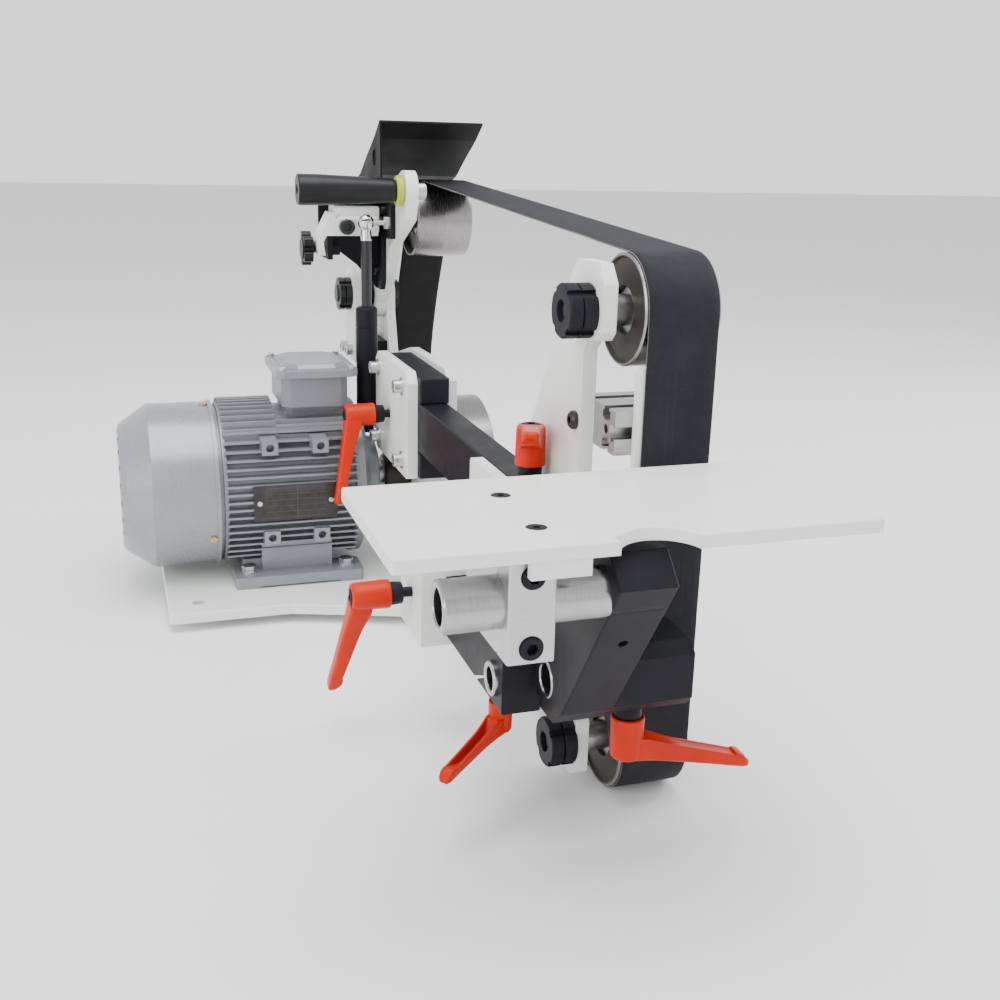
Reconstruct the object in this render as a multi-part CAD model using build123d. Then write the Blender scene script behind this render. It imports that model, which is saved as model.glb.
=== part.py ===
"""Bench belt grinder, 50 mm belt: welded base, foot motor, tension arm, platen head and work rest."""
from build123d import *
import math
import os

os.makedirs("parts", exist_ok=True)

# ---- driving dimensions (mm); X along the motor shaft, Y away from the operator, Z up ----
BASE_T = 10.0
AXIS_H = 90.0
SHAFT_Z = BASE_T + AXIS_H
BELT_W = 50.0
BELT_T = 1.2
BELT_GAP = 0.3
WHEEL_R = 37.5
WHEEL_W = 54.0
DRUM_R = 40.0
DRUM_W = 60.0
DRIVE_R = 80.0
DRIVE_W = 60.0
HEAD_Y = -501.3
UPPER_Z = 342.7
LOWER_Z = 30.4
DRUM_Y = 49.5
DRUM_Z = 368.0
DRUM_X = -6.0
AXLE_D = 15.0
PLATE_T = 10.0
MAIN_X = -50.0
RECV_X = -78.0
ARM_X0 = -77.7
ARM_X1 = -50.3
ARM_Z0 = 161.5
ARM_Z1 = 209.5
ARM_Y0 = -478.0
ARM_Y1 = -22.0
REST_X0 = -121.4
REST_X1 = -94.2
REST_Z0 = 84.1
REST_Z1 = 131.9
REST_Y0 = -553.0
REST_Y1 = -348.0
EYE_Y = -536.0
EYE_Z = 103.5
LINK_Y = -577.0
LINK_Z = 119.0
CROSS_Y = -657.0
CROSS_Z = 209.0
CROSS_D = 30.0
LINK_X0 = -100.0
LINK_X1 = -64.5
TABLE_Z = 240.0
TABLE_T = 8.0
PIVOT_Y = 118.0
PIVOT_Z = 280.0
RECEIVER_BOLT_Y = (-362, -402)
HEAD_BOLT_Y = (-424, -458)
TENS_X0 = -62.5
TENS_X1 = -50.6
GRIP_Y = -30.0
GRIP_Z = 400.0
STRUT_X = -92.0
STRUT_Y = 8.0
STRUT_Z0 = 150.0
STRUT_Z1 = 366.0
TILT_X = -110.0
TILT_Z = 361.0
NUT_D = 36.4
COWL_R = 84.5
LID_Z = 216.0


def save(node, *solids):
    """Write one node as a STEP file."""
    found = []
    for item in solids:
        found.extend(item.solids())
    shape = found[0] if len(found) == 1 else Compound(found)
    export_step(shape, "parts/" + node + ".step")


def box(x0, x1, y0, y1, z0, z1):
    """Axis-aligned block between the given limits."""
    return Pos((x0 + x1) / 2, (y0 + y1) / 2, (z0 + z1) / 2) * Box(x1 - x0, y1 - y0, z1 - z0)


def rod_x(d, x0, x1, y, z):
    """Round bar along X."""
    return Pos((x0 + x1) / 2, y, z) * Rot(0, 90, 0) * Cylinder(d / 2, x1 - x0)


def rod_y(d, y0, y1, x, z):
    """Round bar along Y."""
    return Pos(x, (y0 + y1) / 2, z) * Rot(90, 0, 0) * Cylinder(d / 2, y1 - y0)


def rod_z(d, z0, z1, x, y):
    """Round bar along Z."""
    return Pos(x, y, (z0 + z1) / 2) * Cylinder(d / 2, z1 - z0)


def plate_x(x0, x1, points, discs=()):
    """Plate with its faces square to X, outlined by (y, z) points plus round lobes."""
    flat = Plane.YZ.offset(x0)
    body = extrude(flat * make_face(Polyline(*points, close=True)), x1 - x0)
    for y, z, r in discs:
        body = body + rod_x(2 * r, x0, x1, y, z)
    return body


def turned_x(profile, y, z):
    """Turned part about an axis along X from (x, r) points."""
    face = make_face(Polyline(*profile, close=True))
    return Pos(0, y, z) * revolve(face, Axis.X)


def near(edges, axis, value, tol=0.05):
    """Edges whose centre lies at a coordinate."""
    return [e for e in edges if abs(getattr(e.center(), axis) - value) < tol]


# ---- base and frame ----

def base_plate():
    outline = [(-315, -140), (-200, -140), (-95, -175), (-40, -175), (-40, 150), (-315, 150)]
    body = extrude(make_face(Polyline(*outline, close=True)), BASE_T)
    corners = [e for e in body.edges().filter_by(Axis.Z) if e.center().X < -310]
    body = fillet(corners, 6)
    body = body - rod_z(12, -1, 11, -286, -112) - rod_z(12, -1, 11, -286, 122)
    body = body - rod_z(12, -1, 11, -75, -150) - rod_z(12, -1, 11, -75, 122)
    for x in (-232, -132):
        for y in (-70, 70):
            body = body - rod_z(8.2, -1, 11, x, y)
    return chamfer(body.faces().sort_by(Axis.Z)[-1].outer_wire().edges(), 0.8)


def main_plate():
    outline = [(-160, 10), (-160, 230), (-150, 240), (-12, 238), (40, 225), (82, 216), (98, 262),
               (98, 280), (138, 280), (150, 250), (150, 10)]
    body = plate_x(MAIN_X, MAIN_X + PLATE_T, outline, [(PIVOT_Y, PIVOT_Z, 20)])
    body = body - rod_x(46, -52, -38, 0, SHAFT_Z)
    body = body - rod_x(20.1, -52, -38, PIVOT_Y, PIVOT_Z)
    for y, z in receiver_holes():
        body = body - rod_x(8.1, -52, -38, y, z)
    for y in (108, 138):
        body = body - rod_x(8.1, -52, -38, y, 216)
    body = body - rod_x(10.1, -52, -38, STRUT_Y, STRUT_Z0)
    return body


def receiver_holes():
    return [(-33, 222), (-137, 222), (-33, 149), (-137, 149)]


def receiver_plate():
    outline = [(-158, 137), (-158, 228), (-148, 238), (-28, 238), (-18, 230), (-18, 137), (-22, 134),
               (-154, 134)]
    body = plate_x(-88, RECV_X, outline)
    for y, z in receiver_holes():
        body = body - rod_x(8.4, -90, -76, y, z)
    body = body - rod_x(10.2, -90, -76, -80, 183)
    return body


def receiver_spacer(z0, z1):
    body = box(RECV_X, MAIN_X, -168, -18, z0, z1)
    body = chamfer(body.faces().sort_by(Axis.Y)[0].edges(), 1.0)
    for y, z in receiver_holes():
        if z0 < z < z1:
            body = body - rod_x(8.4, -80, -48, y, z)
    return body


def socket_screw(d, head_d, head_h, length):
    """Socket cap screw along +X, under-head face at x=0, head on the -X side."""
    head = Pos(-head_h / 2, 0, 0) * Rot(0, 90, 0) * Cylinder(head_d / 2, head_h)
    head = chamfer(head.edges().sort_by(Axis.X)[0], head_d * 0.05)
    hexagon = extrude(Plane.YZ.offset(-head_h - 0.01) * RegularPolygon(head_d * 0.27, 6), head_h * 0.55)
    shank = Pos(length / 2 - 0.005, 0, 0) * Rot(0, 90, 0) * Cylinder(d / 2, length + 0.01)
    return head - hexagon + shank


def washer_x(outer, inner, x0, x1, y, z):
    """Flat ring along X."""
    return rod_x(outer, x0, x1, y, z) - rod_x(inner, x0 - 1, x1 + 1, y, z)


def receiver_bolts():
    out = []
    for y, z in receiver_holes():
        out.append(Pos(-89.6, y, z) * socket_screw(8, 13, 8, 46))
        out.append(washer_x(17, 8.2, -89.6, -88, y, z))
    return out


# ---- motor ----

def motor_housing():
    tube = rod_x(158, -254, -118, 0, SHAFT_Z) - rod_x(140, -255, -117, 0, SHAFT_Z)
    tube = tube + rod_x(166, -122, -118, 0, SHAFT_Z) - rod_x(140, -123, -117, 0, SHAFT_Z)
    tube = tube + rod_x(166, -254, -250, 0, SHAFT_Z) - rod_x(140, -255, -249, 0, SHAFT_Z)
    fins = []
    for side in (-1, 1):
        for i in range(17):
            z = -64 + i * 8.0
            reach = math.sqrt(88.0 ** 2 - z ** 2)
            inner = math.sqrt(78.0 ** 2 - z ** 2)
            y0, y1 = sorted((side * inner, side * reach))
            fin = box(-252, -120, y0, y1, SHAFT_Z + z - 1.0, SHAFT_Z + z + 1.0)
            p0, p1 = sorted((side * 37.9, side * 66.1))
            fins.append(fin - box(-218.1, -145.9, p0, p1, 19, 60.1))
    for i in range(15):
        y = -56 + i * 8.0
        reach = math.sqrt(88.0 ** 2 - y ** 2)
        low_reach = math.sqrt(83.0 ** 2 - y ** 2)
        inner = math.sqrt(78.0 ** 2 - y ** 2)
        fins.append(box(-252, -198, y - 1.0, y + 1.0, SHAFT_Z + inner, SHAFT_Z + reach))
        if abs(y) > 32:
            fins.append(box(-198.1, -120, y - 1.0, y + 1.0, SHAFT_Z + inner, SHAFT_Z + low_reach))
    for fin in fins:
        tube = tube + fin
    tube = tube + box(-186, -126, -30, 30, SHAFT_Z + 70, 179.2) - rod_x(140, -255, -117, 0, SHAFT_Z)
    for x in (-209, -159):
        for z in (54, -39):
            y1 = -math.sqrt(74.0 ** 2 - z ** 2)
            pad = box(x - 8, x + 8, -86, y1, SHAFT_Z + z - 7, SHAFT_Z + z + 7)
            tube = tube + pad
            tube = tube - rod_y(8, -87, -76, x, SHAFT_Z + z)
    tube = tube + box(-223, -147, -88.4, -74, 84, 113.5) - rod_x(140, -255, -117, 0, SHAFT_Z)
    return tube - box(-184, -124, -20, 20, SHAFT_Z + 60, 180)


def end_bell():
    outer = [(-118, 0), (-118, 83), (-112, 83), (-104, 66), (-104, 42), (-90, 40), (-88, 38), (-88, 0)]
    inner = [(-119, 0), (-119, 66), (-114, 66), (-109, 58), (-109, 26.1), (-94, 26.1), (-94, 16),
             (-87, 16), (-87, 0)]
    body = turned_x(outer, 0, SHAFT_Z) - turned_x(inner, 0, SHAFT_Z)
    spigot = rod_x(139.8, -122, -118, 0, SHAFT_Z) - rod_x(132, -123, -117, 0, SHAFT_Z)
    return body + spigot


def rear_bell():
    outer = [(-254, 0), (-254, 79), (-262, 79), (-266, 60), (-268, 34), (-268, 0)]
    inner = [(-253, 0), (-253, 66), (-258, 66), (-262, 26.1), (-265, 26.1), (-265, 14), (-269, 14),
             (-269, 0)]
    body = turned_x(outer, 0, SHAFT_Z) - turned_x(inner, 0, SHAFT_Z)
    return body + rod_x(139.8, -254, -250, 0, SHAFT_Z) - rod_x(132, -255, -249, 0, SHAFT_Z)


def fan_cowl():
    outer = [(-258, 0), (-258, COWL_R), (-322, COWL_R), (-346, 68), (-350.5, 64), (-352, 59), (-352, 0)]
    inner = [(-257, 0), (-257, COWL_R - 2), (-321.4, COWL_R - 2), (-344.6, 66.4), (-349, 62), (-350, 58),
             (-350, 0)]
    body = turned_x(outer, 0, SHAFT_Z) - turned_x(inner, 0, SHAFT_Z)
    lip = rod_x(172, -262, -258, 0, SHAFT_Z) - rod_x(166, -263, -257, 0, SHAFT_Z)
    body = body + lip - rod_x(159, -257.9, -250, 0, SHAFT_Z)
    for ring, count in ((20, 8), (34, 12), (48, 18), (60, 22)):
        for i in range(count):
            a = 2 * math.pi * i / count
            body = body - rod_x(7, -353, -349, ring * math.cos(a), SHAFT_Z + ring * math.sin(a))
    for y, z in cowl_points():
        turn = Rot(math.degrees(math.atan2(z, y)) - 90, 0, 0)
        body = body - Pos(-266, y, SHAFT_Z + z) * turn * Cylinder(2.6, 12)
    return body


def cowl_points():
    r = COWL_R - 1.0
    return [(r * math.cos(math.radians(a)), r * math.sin(math.radians(a))) for a in (95, 207, 325)]


def cowl_lugs():
    body = rod_x(2 * COWL_R - 4.4, -268, -260.5, 0, SHAFT_Z) - rod_x(157, -269, -259, 0, SHAFT_Z)
    for y, z in cowl_points():
        turn = Rot(math.degrees(math.atan2(z, y)) - 90, 0, 0)
        body = body - Pos(-266, y * 0.95, SHAFT_Z + z * 0.95) * turn * Cylinder(2.05, 16)
    return body


def cowl_screws():
    out = []
    for y, z in cowl_points():
        turn = Rot(math.degrees(math.atan2(z, y)) - 90, 0, 0)
        head = Pos(0, 0, 1.9) * Cylinder(4.0, 1.8)
        head = head - Pos(0, 0, 2.6) * Box(0.9, 9, 0.9)
        shank = Pos(0, 0, -2.5) * Cylinder(2.0, 7.02)
        out.append(Pos(-266, y, SHAFT_Z + z) * turn * (head + shank))
    return out


def foot_y(side):
    return side * 70.0


def motor_feet():
    out = []
    for side in (-1, 1):
        y0, y1 = sorted((side * 50.0, side * 90.0))
        body = box(-247, -117, y0, y1, 10, 22)
        body = body - box(-222, -142, y0 - 1, y1 + 1, 9, 12)
        body = fillet(body.edges().filter_by(Axis.Z), 4)
        p0, p1 = sorted((side * 38.0, side * 66.0))
        riser = box(-218, -146, p0, p1, 20, 53.5) - rod_x(158.2, -260, -110, 0, SHAFT_Z)
        g0, g1 = sorted((side * 40.0, side * 58.0))
        gusset = box(-236, -218, g0, g1, 20, 31)
        body = body + riser + gusset
        for x in (-232, -132):
            body = body - rod_z(9, 9, 40, x, side * 70.0)
        out.append(body)
    return out


def foot_bolts():
    out = []
    for x in (-232, -132):
        for y in (-70, 70):
            shank = rod_z(8, 1.0, 23.6, x, y)
            head = Pos(x, y, 26.2) * extrude(RegularPolygon(7.5, 6), 2.65, both=True)
            ring = rod_z(17, 22, 23.55, x, y) - rod_z(8.2, 21, 24, x, y)
            out.append(shank + head)
            out.append(ring)
    return out


def terminal_box():
    body = box(-190, -122.3, -45, 45, 179.2, LID_Z)
    body = chamfer(body.edges().filter_by(Axis.Z), 8)
    low = body.faces().sort_by(Axis.Z)[0]
    body = chamfer(low.edges(), 6)
    hollow = box(-186, -126, -38, 38, 187, LID_Z + 1)
    body = body - hollow - box(-178, -130, -16, 16, 170, 188)
    body = body - rod_x(12, -128, -120, 14, 198)
    return body


def terminal_lid():
    body = box(-196, -113, -51, 51, LID_Z, LID_Z + 7.4)
    body = chamfer(body.edges().filter_by(Axis.Z), 7)
    top = box(-188, -121, -43, 43, LID_Z + 4, LID_Z + 12)
    top = chamfer(top.edges().filter_by(Axis.Z), 14)
    top = chamfer(top.faces().sort_by(Axis.Z)[-1].edges(), 4)
    body = body + top - box(-183, -126, -34, 34, LID_Z - 1, LID_Z + 6)
    for x, y in lid_points():
        body = body + rod_z(8, LID_Z + 2, LID_Z + 8.2, x, y)
        body = body - rod_z(5, LID_Z - 1, LID_Z + 9, x, y)
    return body


def lid_points():
    return [(-189.5, -44.5), (-119.5, -44.5), (-189.5, 44.5), (-119.5, 44.5)]


def lid_screws():
    out = []
    z = LID_Z + 8.2
    for x, y in lid_points():
        head = rod_z(7.5, z, z + 2.4, x, y) - box(x - 3.2, x + 3.2, y - 0.5, y + 0.5, z + 1.5, z + 3)
        out.append(head + rod_z(4.6, LID_Z + 0.5, z + 0.02, x, y))
    return out


def gland_plug():
    body = rod_x(17, -122.3, -115, 14, 198)
    body = body + rod_x(11.8, -128, -122.2, 14, 198)
    return body - rod_x(8, -116.5, -114, 14, 198)


def nameplate():
    body = box(-227, -144, -89.3, -88.4, 80.5, 117)
    return body - rod_y(3.2, -91, -87, -221, 99) - rod_y(3.2, -91, -87, -150, 99)


def nameplate_rivets():
    out = []
    for x in (-221, -150):
        out.append(rod_y(3, -89.6, -88.4, x, 99) + rod_y(5, -90.4, -89.35, x, 99))
    return out


def stator():
    core = rod_x(139.8, -226, -146, 0, SHAFT_Z) - rod_x(86, -227, -145, 0, SHAFT_Z)
    left = rod_x(128, -246, -226, 0, SHAFT_Z) - rod_x(94, -247, -225, 0, SHAFT_Z)
    right = rod_x(128, -146, -126, 0, SHAFT_Z) - rod_x(94, -147, -125, 0, SHAFT_Z)
    return core + left + right


def rotor_shaft():
    profile = [(-322, 0), (-322, 9), (-264.9, 9), (-264.9, 12.5), (-246, 12.5), (-246, 17), (-228, 17),
               (-228, 42.5), (-144, 42.5), (-144, 17), (-109, 17), (-109, 12.5), (-88, 12.5), (-88, 12),
               (-39, 12), (-38, 11), (-38, 0)]
    body = turned_x(profile, 0, SHAFT_Z)
    return body - box(-84, -44, -4, 4, SHAFT_Z + 8, SHAFT_Z + 13)


def bearing(x0, x1, bore, outer, y, z):
    """Sealed ball bearing shown as rings and a shield."""
    body = washer_x(outer, bore, x0, x1, y, z)
    mid = (bore + outer) / 4
    groove = washer_x(2 * mid + 3, 2 * mid - 3, x0 - 1, x0 + 0.5, y, z)
    groove2 = washer_x(2 * mid + 3, 2 * mid - 3, x1 - 0.5, x1 + 1, y, z)
    return body - groove - groove2


def motor_bearings():
    return [bearing(-109, -94, 25.06, 52, 0, SHAFT_Z), bearing(-265, -262.2, 25.06, 52, 0, SHAFT_Z)]


def cooling_fan():
    hub = rod_x(40, -320, -276, 0, SHAFT_Z) - rod_x(18, -321, -275, 0, SHAFT_Z)
    disc = rod_x(132, -280, -277, 0, SHAFT_Z) - rod_x(18, -321, -270, 0, SHAFT_Z)
    body = hub + disc
    for i in range(8):
        blade = box(-318, -280, 18, 64, SHAFT_Z - 1.2, SHAFT_Z + 1.2)
        body = body + blade.rotate(Axis((0, 0, SHAFT_Z), (1, 0, 0)), i * 45)
    return body


# ---- wheels ----

def drive_wheel():
    profile = [(-78, 12.0), (-78, 18), (-76, 20), (-30, 20), (-22, 22), (-22, 70), (-30, 72), (-30, 79.2),
               (-29, DRIVE_R), (29, DRIVE_R), (30, 79.2), (30, 72), (14, 68), (6, 60), (6, 24),
               (16, 22), (16, 12.0)]
    body = turned_x(profile, 0, SHAFT_Z)
    for i in range(6):
        a = math.radians(60 * i)
        body = body - rod_x(18, -40, 40, 44 * math.cos(a), SHAFT_Z + 44 * math.sin(a))
    return body + rod_x(24.1, -37.5, 16, 0, SHAFT_Z) - rod_x(8.2, -38, 17, 0, SHAFT_Z)


def drive_fasteners():
    key = box(-83, -45, -3.95, 3.95, SHAFT_Z + 8.1, SHAFT_Z + 11.2)
    screw = Pos(16, 0, SHAFT_Z) * Rot(0, 0, 180) * socket_screw(8, 13, 8, 40)
    return [key, screw]


def platen_wheel(z):
    profile = [(-25.5, 16), (-25.5, 34), (-27, 35), (-27, 36.6), (-26, WHEEL_R), (26, WHEEL_R),
               (27, 36.6), (27, 35), (25.5, 34), (25.5, 16)]
    return turned_x(profile, HEAD_Y, z)


def tracking_wheel():
    profile = [(-24, 16), (-24, 35), (-30, 37), (-30, 38.8), (-28, 39.4), (0, DRUM_R), (28, 39.4),
               (30, 38.8), (30, 37), (24, 35), (24, 16)]
    return Pos(DRUM_X, 0, 0) * turned_x(profile, DRUM_Y, DRUM_Z)


def wheel_bearings(y, z):
    return [bearing(-22.8, -13.8, AXLE_D + 0.06, 31.9, y, z), bearing(11, 20, AXLE_D + 0.06, 31.9, y, z),
            washer_x(31.9, 26, -13.8, 11, y, z)]


def wheel_axle(z):
    profile = [(-66.5, 0), (-66.5, 6.5), (-65.5, 7.45), (-40.3, 7.45), (-40.3, 10.5), (-23.2, 10.5),
               (-23.2, AXLE_D / 2), (20.4, AXLE_D / 2), (20.4, 0)]
    return turned_x(profile, HEAD_Y, z) - rod_x(6, 4, 21, HEAD_Y, z)


def end_screw(x, y, z):
    """Button screw with a retaining washer on an axle end."""
    ring = rod_x(21, x, x + 2, y, z)
    dome = rod_x(12, x + 2, x + 5, y, z)
    dome = chamfer(dome.edges().sort_by(Axis.X)[-1], 1.6)
    pin = rod_x(5.9, x - 14, x + 0.01, y, z)
    hexagon = extrude(Plane.YZ.offset(x + 3) * Pos(y, z) * RegularPolygon(2.3, 6), 3)
    return ring + dome + pin - hexagon


def slotted_nut(x0, x1, bore, outer, y, z):
    """Round nut with four hook slots."""
    body = rod_x(outer, x0, x1, y, z)
    body = chamfer(body.edges().filter_by(GeomType.CIRCLE), 1.0)
    body = body - rod_x(bore, x0 - 1, x1 + 1, y, z)
    for i in range(4):
        slot = box(x0 - 1, x1 + 1, y - 2.6, y + 2.6, z + outer / 2 - 2.5, z + outer / 2 + 2)
        body = body - slot.rotate(Axis((0, y, z), (1, 0, 0)), 45 + i * 90)
    return body


# ---- belt ----

def belt_loop(offset):
    """Closed belt outline in the YZ plane, offset outwards from the wheel surfaces."""
    rw = WHEEL_R + BELT_GAP + offset
    rd = DRIVE_R + BELT_GAP + offset
    rt = DRUM_R + BELT_GAP + offset
    pts = []
    top = tangent((HEAD_Y, UPPER_Z, rw), (DRUM_Y, DRUM_Z, rt), 1)
    bottom = tangent((HEAD_Y, LOWER_Z, rw), (0.0, SHAFT_Z, rd), -1)
    a_up = math.atan2(top[0][1] - UPPER_Z, top[0][0] - HEAD_Y)
    a_low = math.atan2(bottom[0][1] - LOWER_Z, bottom[0][0] - HEAD_Y) + 2 * math.pi
    front_u = (HEAD_Y - rw, UPPER_Z)
    front_l = (HEAD_Y - rw, LOWER_Z)
    mid_u = (HEAD_Y + rw * math.cos((a_up + math.pi) / 2), UPPER_Z + rw * math.sin((a_up + math.pi) / 2))
    mid_l = (HEAD_Y + rw * math.cos((a_low + math.pi) / 2), LOWER_Z + rw * math.sin((a_low + math.pi) / 2))
    a_t = math.atan2(top[1][1] - DRUM_Z, top[1][0] - DRUM_Y)
    a_end = math.radians(52)
    end_t = (DRUM_Y + rt * math.cos(a_end), DRUM_Z + rt * math.sin(a_end))
    mid_a = (a_t + a_end) / 2
    mid_t = (DRUM_Y + rt * math.cos(mid_a), DRUM_Z + rt * math.sin(mid_a))
    a_d0 = math.radians(-42)
    a_d1 = math.atan2(bottom[1][1] - SHAFT_Z, bottom[1][0])
    start_d = (rd * math.cos(a_d0), SHAFT_Z + rd * math.sin(a_d0))
    mid_d = (rd * math.cos((a_d0 + a_d1) / 2), SHAFT_Z + rd * math.sin((a_d0 + a_d1) / 2))
    bow = bow_points(offset)
    t_end = (math.sin(a_end), -math.cos(a_end))
    t_start = (math.sin(a_d0), -math.cos(a_d0))
    pts.append(Line(front_u, front_l))
    pts.append(ThreePointArc(front_l, mid_l, bottom[0]))
    pts.append(Line(bottom[0], bottom[1]))
    pts.append(ThreePointArc(bottom[1], mid_d, start_d))
    pts.append(Spline([end_t] + bow + [start_d], tangents=[t_end, t_start]))
    pts.append(ThreePointArc(end_t, mid_t, top[1]))
    pts.append(Line(top[1], top[0]))
    pts.append(ThreePointArc(top[0], mid_u, front_u))
    return make_face(Wire(pts))


def bow_points(offset):
    """Slack bow of the rear run, pushed outwards along its normals."""
    base = [(103, 372), (129, 320), (159, 260), (180, 196), (176, 138), (132, 74)]
    normals = [(0.80, 0.60), (0.90, 0.44), (0.92, 0.39), (1.0, 0.1), (0.93, -0.37), (0.71, -0.71)]
    return [(b[0] + n[0] * offset, b[1] + n[1] * offset) for b, n in zip(base, normals)]


def tangent(a, b, side):
    """Outer tangent points of two circles; side 1 above, -1 below."""
    dy = b[0] - a[0]
    dz = b[1] - a[1]
    span = math.hypot(dy, dz)
    base = math.atan2(dz, dy)
    lean = math.acos((a[2] - b[2]) / span)
    ang = base + side * lean
    pa = (a[0] + a[2] * math.cos(ang), a[1] + a[2] * math.sin(ang))
    pb = (b[0] + b[2] * math.cos(ang), b[1] + b[2] * math.sin(ang))
    return pa, pb


def abrasive_belt():
    flat = Plane.YZ.offset(-BELT_W / 2)
    ring = belt_loop(BELT_T) - belt_loop(0.0)
    return extrude(flat * ring, BELT_W)


# ---- platen head ----

def tool_arm():
    body = box(ARM_X0, ARM_X1, ARM_Y0, ARM_Y1, ARM_Z0, ARM_Z1)
    body = chamfer(body.edges().filter_by(Axis.Y), 1.2)
    body = body - rod_z(10.2, ARM_Z0 - 1, ARM_Z1 + 1, -64, -435)
    return body


def platen_bracket():
    outline = [(-495, 60), (-495, 316), (-503, 323), (-518, 325), (-524, 331), (-524, 362), (-514, 374.5),
               (-480, 374.5), (-469.4, 367), (-444.5, 316), (-419.3, 281), (-403, 254), (-372, 208),
               (-372, 150), (-403, 110), (-440, 62), (-468, 18), (-482, 3), (-505, 3), (-513, 9), (-513, 48),
               (-506, 54)]
    body = plate_x(ARM_X1, ARM_X1 + PLATE_T, outline)
    body = fillet(body.edges().filter_by(Axis.X), 2.5)
    body = body - rod_x(AXLE_D, -52, -39, HEAD_Y, UPPER_Z) - rod_x(AXLE_D, -52, -39, HEAD_Y, LOWER_Z)
    for z in (265.5, 107.5):
        body = body - rod_x(8.2, -52, -39, -485.3, z)
    for y in HEAD_BOLT_Y:
        body = body - rod_x(8.1, -52, -39, y, 149)
    return body


def profile_piece(z):
    """Slotted aluminium extrusion, 60 x 30, axis along X."""
    x0, x1 = ARM_X1 + PLATE_T, 18.0
    body = box(x0, x1, -530.3, -470.3, z - 15, z + 15)
    for y in (-515.3, -485.3):
        for side in (-1, 1):
            zc = z + side * 15
            zs0, zs1 = sorted((zc, zc - side * 9))
            body = body - box(x0 - 1, x1 + 1, y - 4.1, y + 4.1, zs0, zs1)
            zi0, zi1 = sorted((z + side * 12.8, z + side * 7.5))
            body = body - box(x0 - 1, x1 + 1, y - 6.5, y + 6.5, zi0, zi1)
        body = body - rod_x(6.8, x0 - 1, x1 + 1, y, z)
    for ye, s in ((-530.3, 1), (-470.3, -1)):
        y0, y1 = sorted((ye, ye + s * 9))
        body = body - box(x0 - 1, x1 + 1, y0, y1, z - 4.1, z + 4.1)
        y0, y1 = sorted((ye + s * 2.2, ye + s * 6.5))
        body = body - box(x0 - 1, x1 + 1, y0, y1, z - 6.5, z + 6.5)
    return body


def profile_screws():
    out = []
    for z in (265.5, 107.5):
        head = rod_x(13, -54.8, ARM_X1, -485.3, z)
        head = chamfer(head.edges().sort_by(Axis.X)[0], 1.8)
        head = head - extrude(Plane.YZ.offset(-54.9) * Pos(-485.3, z) * RegularPolygon(2.8, 6), 2.6)
        out.append(head + rod_x(6.7, ARM_X1 - 0.01, -18, -485.3, z))
    return out


def platen_plate():
    body = box(-28, 25, -538.4, -530.4, 62, 311)
    body = fillet(body.edges().filter_by(Axis.Y), 7)
    for z in (265.5, 107.5):
        for x in (-16, 10):
            body = body - rod_y(6.2, -540, -529, x, z) - cone_y(6.1, 3.1, -538.4, -535.2, x, z)
    return body


def cone_y(r0, r1, y0, y1, x, z):
    """Cone along Y from radius r0 at y0 to r1 at y1."""
    return Pos(x, (y0 + y1) / 2, z) * Rot(-90, 0, 0) * Cone(r0, r1, y1 - y0)


def platen_screws():
    out = []
    for z in (265.5, 107.5):
        for x in (-16, 10):
            body = cone_y(5.9, 3.0, -538.4, -535.3, x, z) + rod_y(6, -535.4, -522, x, z)
            body = body - extrude(Plane.XZ.offset(538.5) * Pos(x, z) * RegularPolygon(2.2, 6), -2)
            out.append(body)
    return out


def head_plate():
    outline = [(-474, 78), (-474, 205), (-470, 209.5), (-364, 209.5), (-362, 207), (-362, 160), (-352, 157),
               (-352, 80), (-356, 76), (-470, 76)]
    body = plate_x(ARM_X0 - PLATE_T, ARM_X0, outline)
    for y in HEAD_BOLT_Y:
        body = body - rod_x(8.4, -89, -76, y, 149)
    for y in RECEIVER_BOLT_Y:
        body = body - rod_x(8.1, -89, -76, y, 149)
    return body


def head_spacer():
    body = box(ARM_X0, ARM_X1, -470, -375, 137, ARM_Z0)
    for y in HEAD_BOLT_Y:
        body = body - rod_x(8.4, -80, -48, y, 149)
    return body - rod_z(8.1, 136, 162, -64, -435)


def head_bolts():
    out = []
    for y in HEAD_BOLT_Y:
        out.append(Pos(-89.3, y, 149) * socket_screw(8, 13, 8, 45))
        out.append(washer_x(17, 8.2, -89.3, -87.7, y, 149))
    return out


# ---- work rest ----

def rest_receiver():
    body = box(-141, -87.7, -417, -352, 76, 142)
    body = chamfer(body.edges().filter_by(Axis.X), 1.0)
    body = body + box(-96, -87.7, -412, -352, 140, 157)
    body = body - box(REST_X0 - 0.3, REST_X1 + 0.3, -420, -350, REST_Z0 - 0.3, REST_Z1 + 0.3)
    body = body - rod_x(8.1, -142, -121, -387, 111)
    for y in RECEIVER_BOLT_Y:
        body = body - rod_x(8.4, -142, -87, y, 149)
    return body


def rest_receiver_bolts():
    out = []
    for y in RECEIVER_BOLT_Y:
        out.append(Pos(-96, y, 149) * socket_screw(8, 13, 8, 17))
    return out


def rest_arm():
    body = box(REST_X0, REST_X1, REST_Y0, REST_Y1, REST_Z0, REST_Z1)
    body = chamfer(body.edges().filter_by(Axis.Y), 1.0)
    body = body - rod_x(24.1, REST_X0 - 1, REST_X1 + 1, EYE_Y, EYE_Z)
    slit = Pos(0, EYE_Y, EYE_Z) * Rot(-24.0, 0, 0) * Pos(-108, 32, 0) * Box(40, 64, 2.4)
    body = body - slit
    body = body - rod_z(8.2, 80, 122, -108, -512)
    return body


def eye_tube():
    body = rod_x(24, -125, -53.3, EYE_Y, EYE_Z) - rod_x(16, -126, -50, EYE_Y, EYE_Z)
    return chamfer(body.edges().filter_by(GeomType.CIRCLE), 0.8)


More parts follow.
